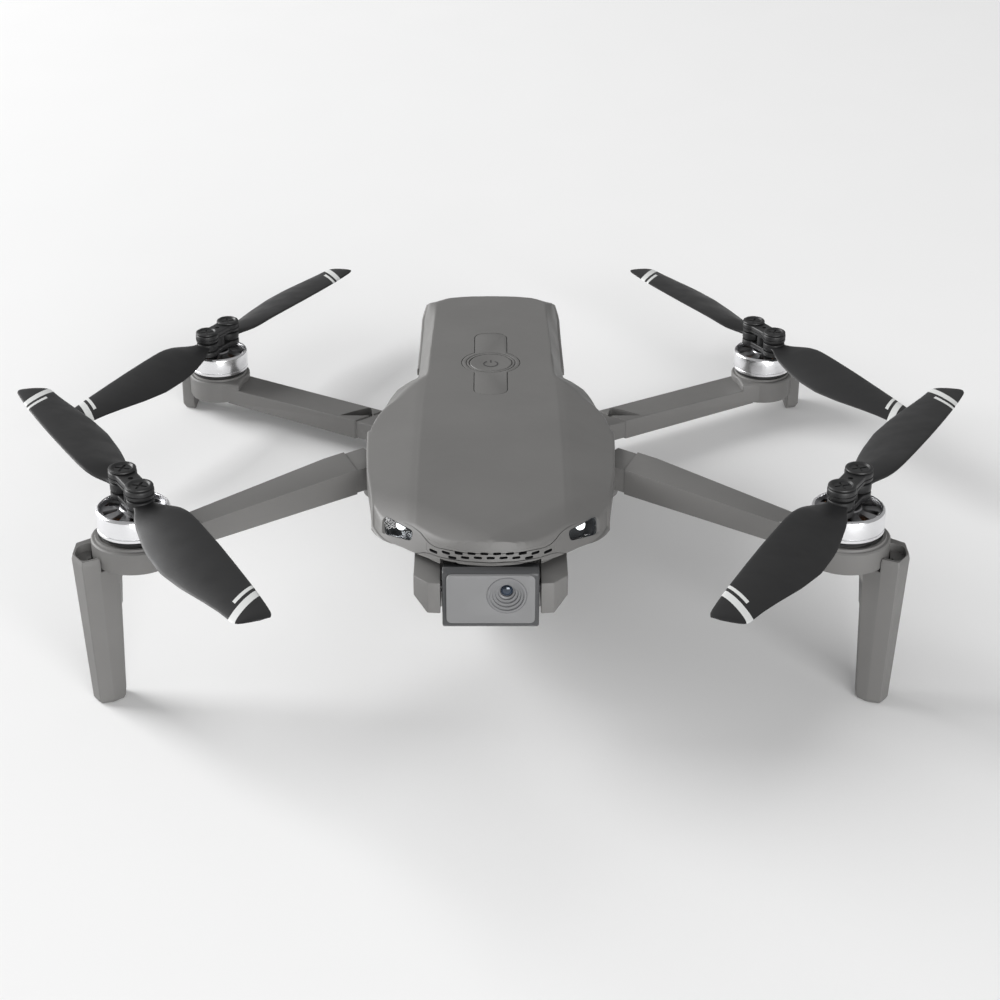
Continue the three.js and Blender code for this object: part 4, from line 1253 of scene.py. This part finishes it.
def build_bell(end):
    """The turning part: a bright ring, and a cap with a window over each coil."""
    ring = lathe(f"bell_ring_{end}_left", [
        (8.3, 1.25), (9.2, 1.2), (9.5, 1.5), (9.5, 2.2), (9.42, 2.3), (9.42, 2.45), (9.5, 2.55), (9.5, 6.85),
        (9.4, 7.1), (9.1, 7.4), (8.8, 7.5), (8.55, 7.4), (8.45, 7.1), (8.4, 6.2), (8.3, 6.0)], 128)
    at_motor(ring, end)
    give_both(dress(ring, "bell"), f"prop_{end}_left", "bell", f"motor_bell_{end}_left")
    cap = lathe("cap", [(1.35, 0), (1.35, 7.4), (3.2, 7.4), (3.5, 7.1), (7.9, 6.55), (8.38, 6.45),
                        (8.38, 5.8), (1.9, 5.8), (1.4, 5.7)], 96)
    window = rounded([(3.9, -0.5), (7.7, -1.2), (7.7, 1.2), (3.9, 0.5)], 0.45, 4)
    for k in range(COILS):
        cut(cap, turned(prism("window", window, 5, 9), 360 / COILS * (k + 0.5), "Z"))
    cap.name = f"bell_cap_{end}_left"
    at_motor(cap, end)
    give_both(dress(cap, "cap"), f"prop_{end}_left", "bell")


# ---------------------------------------------------------------- propellers
PIVOT_R = 5.75  # distance of a blade's screw from the motor's axis
BLADE_MID = 3.55  # height of a blade's middle above the bell
PROP_TURN = {"front": 60.0, "rear": -60.0}
HAND = {"front": -1, "rear": 1}  # the way the blades face: the left-hand propellers turn opposite ways


def dog_bone(radius, waist=132):
    """Two discs round the blades' screws, joined by a narrower waist."""
    near = arc(radius, -waist, waist, 28, PIVOT_R)
    return np.vstack([near, arc(radius, 180 - waist, 180 + waist, 28, -PIVOT_R)])


def at_bell(obj, end, turn):
    """From the propeller's own frame, z up from the bell's top, to its place."""
    x, y = MOTOR[end][:2]
    turned(obj, turn, "Z")
    return shifted(obj, x, y, BELL_TOP[end])


def build_hub(end):
    """The clamp that holds the blades between a plate and a bar, and the heads of its two screws."""
    plate = soften(prism("hub", dog_bone(3.5), 0.3, 2.0), 0.3, 2)
    bar = soften(prism("bar", dog_bone(3.72), 5.2, 7.8), 0.45, 3)
    groove_outer = prism("groove", dog_bone(4.5), 6.2, 6.55)
    cut(groove_outer, prism("keep", dog_bone(3.4), 6, 7))
    cut(bar, groove_outer)
    post = soften(lathe("post", [(0, 1.5), (2.1, 1.5), (2.1, 5.6), (0, 5.6)], 40), 0.2)
    bolts = [rod_z("bolt", 1.2, 1.6, 5.6, side * PIVOT_R, 0, 32) for side in (1, -1)]
    hub = join(plate, bar, post, *bolts)
    cut(hub, rod_z("dimple", 0.7, 7.1, 9, 0, 0, 32))
    hub.name = f"hub_clamp_{end}_left"
    at_bell(hub, end, PROP_TURN[end])
    give_both(dress(hub, "hub"), f"prop_{end}_left", "hub", f"prop_hub_{end}_left")
    for letter, side in (("a", 1), ("b", -1)):
        head = lathe("screw", [(0, 7.82), (3.1, 7.82), (3.5, 7.95), (3.62, 8.15), (3.5, 8.42), (3.2, 8.6),
                               (2.8, 8.6), (2.55, 8.35), (2.4, 8.2), (0, 8.2)], 64)
        for angle in (45, 135):
            cross = box("cross", (-2.0, -0.34, 7.9), (2.0, 0.34, 9))
            cut(head, turned(cross, angle, "Z"))
        head.name = f"screw_head_{end}_left_{letter}"
        shifted(head, side * PIVOT_R)
        at_bell(head, end, PROP_TURN[end])
        give_both(dress(head, "hub"), f"prop_{end}_left", "steel", f"blade_screw_{end}_left_{letter}")


# The blade by distance from the motor's axis: leading and trailing edge, thickness and pitch in degrees.
BLADE_U = [6, 8.5, 10.5, 13, 16, 20, 25, 30, 40, 50, 60, 66, 70, 72, 73.5, 74.5, 75]
BLADE_LEAD = [2.6, 2.9, 3.9, 5.6, 6.8, 7.5, 7.6, 7.5, 7.2, 6.7, 6.1, 5.6, 5.2, 4.95, 4.75, 4.4, 3.9]
BLADE_TRAIL = [-2.6, -2.8, -3.6, -4.8, -5.7, -6.6, -7.7, -8.4, -9.1, -8.1, -6.2, -5.2, -4.8, -4.7, -4.2,
               -2.4, 1.2]
BLADE_THICK = [1.9, 1.8, 1.6, 1.5, 1.5, 1.4, 1.35, 1.3, 1.2, 1.1, 1.0, 0.9, 0.8, 0.75, 0.65, 0.5, 0.35]
BLADE_PITCH = [0, 0, 2, 8, 12, 15, 14.5, 13.5, 11.5, 9, 6.5, 5, 4, 3.7, 3.5, 3.3, 3]
lead_at = smoothed(BLADE_U, BLADE_LEAD, 0.9)
trail_at = smoothed(BLADE_U, BLADE_TRAIL, 0.7)
thick_at = smoothed(BLADE_U, BLADE_THICK, 1.5)
pitch_at = smoothed(BLADE_U, BLADE_PITCH, 2.5)


def blade_ring(u, hand):
    """A blade's cross-section at a distance from the motor: a cambered, twisted aerofoil."""
    lead, trail = float(lead_at(u)), float(trail_at(u))
    thick, pitch = float(thick_at(u)) / 2, math.radians(float(pitch_at(u))) * hand
    ring = []
    for angle in np.linspace(0, 2 * math.pi, 29)[:-1]:
        chord = (1 + math.cos(angle)) / 2
        v = trail + (lead - trail) * chord
        plump = abs(math.sin(angle)) ** 0.75 * (0.45 + 0.55 * chord**0.5)
        camber = 0.05 * (lead - trail) * 4 * chord * (1 - chord) * min(1.0, max(0.0, (u - 9) / 8))
        w = math.copysign(thick * plump, math.sin(angle)) + camber
        y = v * math.cos(pitch) - w * math.sin(pitch) * hand
        z = w * math.cos(pitch) + v * math.sin(pitch) * hand
        ring.append((u, hand * y, BLADE_MID + z))
    return ring


def map_blade(obj, hand):
    """Gives the blade a UV map of distance from the motor in mm and share of the chord from its front."""
    layer = obj.data.uv_layers.new(name="blade")
    for loop in obj.data.loops:
        x, y, _ = obj.data.vertices[loop.vertex_index].co / MM
        lead, trail = float(lead_at(x)), float(trail_at(x))
        layer.data[loop.index].uv = (x, (lead - hand * y) / max(lead - trail, 0.1))


def build_blades(end):
    """Two blades, each with a round eye for its screw."""
    hand = HAND[end]
    us = np.concatenate([np.linspace(7, 22, 16), np.linspace(24, 68, 23), np.linspace(69, 75, 13)])
    for letter, extra in (("a", 0), ("b", 180)):
        leaf = loft("blade", [blade_ring(u, hand) for u in us])
        low, high = BLADE_MID - 1.15, BLADE_MID + 1.15
        eye = lathe("eye", [(0, low), (3.5, low), (3.5, high), (0, high)], 48, (PIVOT_R, 0, 0))
        soften(eye, 0.25)
        blade = join(leaf, eye)
        cut(blade, rod_z("hole", 1.45, 0, 8, PIVOT_R, 0, 40))
        map_blade(blade, hand)
        blade.name = f"propeller_{end}_left_{letter}"
        at_bell(blade, end, PROP_TURN[end] + extra)
        give_both(dress(blade, "blade", 50), f"blade_{end}_left_{letter}", "blade",
                  f"blade_{end}_left_{letter}")


# ---------------------------------------------------------------- pieces inside the body
def crisp(node, finish, width_mm):
    """Keeps a CAD node as it is and rounds its edges with modifiers."""
    obj = bpy.data.objects[node]
    flat = obj.modifiers.new("flat", "DECIMATE")
    flat.decimate_type = "DISSOLVE"
    flat.angle_limit = math.radians(2)
    edges = obj.modifiers.new("edges", "BEVEL")
    edges.width = width_mm * MM
    edges.segments = 2
    edges.limit_method = "ANGLE"
    edges.angle_limit = math.radians(35)
    obj.data.materials.clear()
    obj.data.materials.append(MATERIALS[finish])


def finish_inner_parts():
    crisp("battery_pack", "battery", 0.5)
    crisp("battery_connector", "hub", 0.2)
    crisp("main_board", "board", 0.1)
    crisp("satellite_receiver", "ceramic", 0.2)
    crisp("belly_sensor", "hub", 0.25)
    crisp("tilt_servo", "hub", 0.3)


# ---------------------------------------------------------------- floor, light and camera
def floor_finish():
    finish = Finish("floor")
    finish.set(Base_Color=finish.mix(finish.noise(6, 2), (0.845, 0.845, 0.845), (0.855, 0.855, 0.855)))
    finish.set(Roughness=finish.ramp(finish.noise(30, 2), 0.75, 0.85), Specular_IOR_Level=0.2)
    return finish.material


def build_floor():
    """A wide plain floor just under the feet, in metres."""
    half, low = 6.0, cad_box[0][2] - 0.0002
    mesh = bpy.data.meshes.new("floor")
    corners = [(-half, -half, low), (half, -half, low), (half, half, low), (-half, half, low)]
    mesh.from_pydata(corners, [], [(0, 1, 2, 3)])
    mesh.materials.append(floor_finish())
    linked("floor", mesh)


def soft_light(name, direction, power, size=2.0, distance=3.0):
    """A square area light that shines on the drone from a direction."""
    data = bpy.data.lights.new(name, "AREA")
    data.energy = power
    data.size = size
    lamp = linked(name, data)
    towards = Vector(direction).normalized()
    lamp.location = towards * distance
    lamp.rotation_euler = towards.to_track_quat("Z", "Y").to_euler()


def build_lights():
    soft_light("left_light", (-0.85, 0.35, 0.38), 128)
    soft_light("front_light", (0.3, -0.94, 0.2), 104)
    world = bpy.data.worlds.new("studio")
    world.use_nodes = True
    background = world.node_tree.nodes["Background"]
    background.inputs["Color"].default_value = (1, 1, 1, 1)
    background.inputs["Strength"].default_value = 0.36
    bpy.context.scene.world = world


def build_camera_view():
    """The camera in front of the drone, looking down at it, in metres."""
    data = bpy.data.cameras.new("view")
    data.lens = 79.2
    data.sensor_width = 36
    data.shift_x = 0.0093
    view = linked("view", data)
    view.location = (0, -0.5882, 0.3103)
    view.rotation_euler = (math.radians(63), 0, 0)
    bpy.context.scene.camera = view


build_cover()
build_indicator()
build_headlights()
build_hull()
build_pins()
build_camera()
build_cheeks()
build_front_arm()
build_rear_arm()
build_front_leg()
for end in ("front", "rear"):
    build_stator(end)
    build_bell(end)
    build_hub(end)
    build_blades(end)
finish_inner_parts()
build_floor()
build_lights()
build_camera_view()
bpy.context.scene.view_settings.view_transform = "Standard"
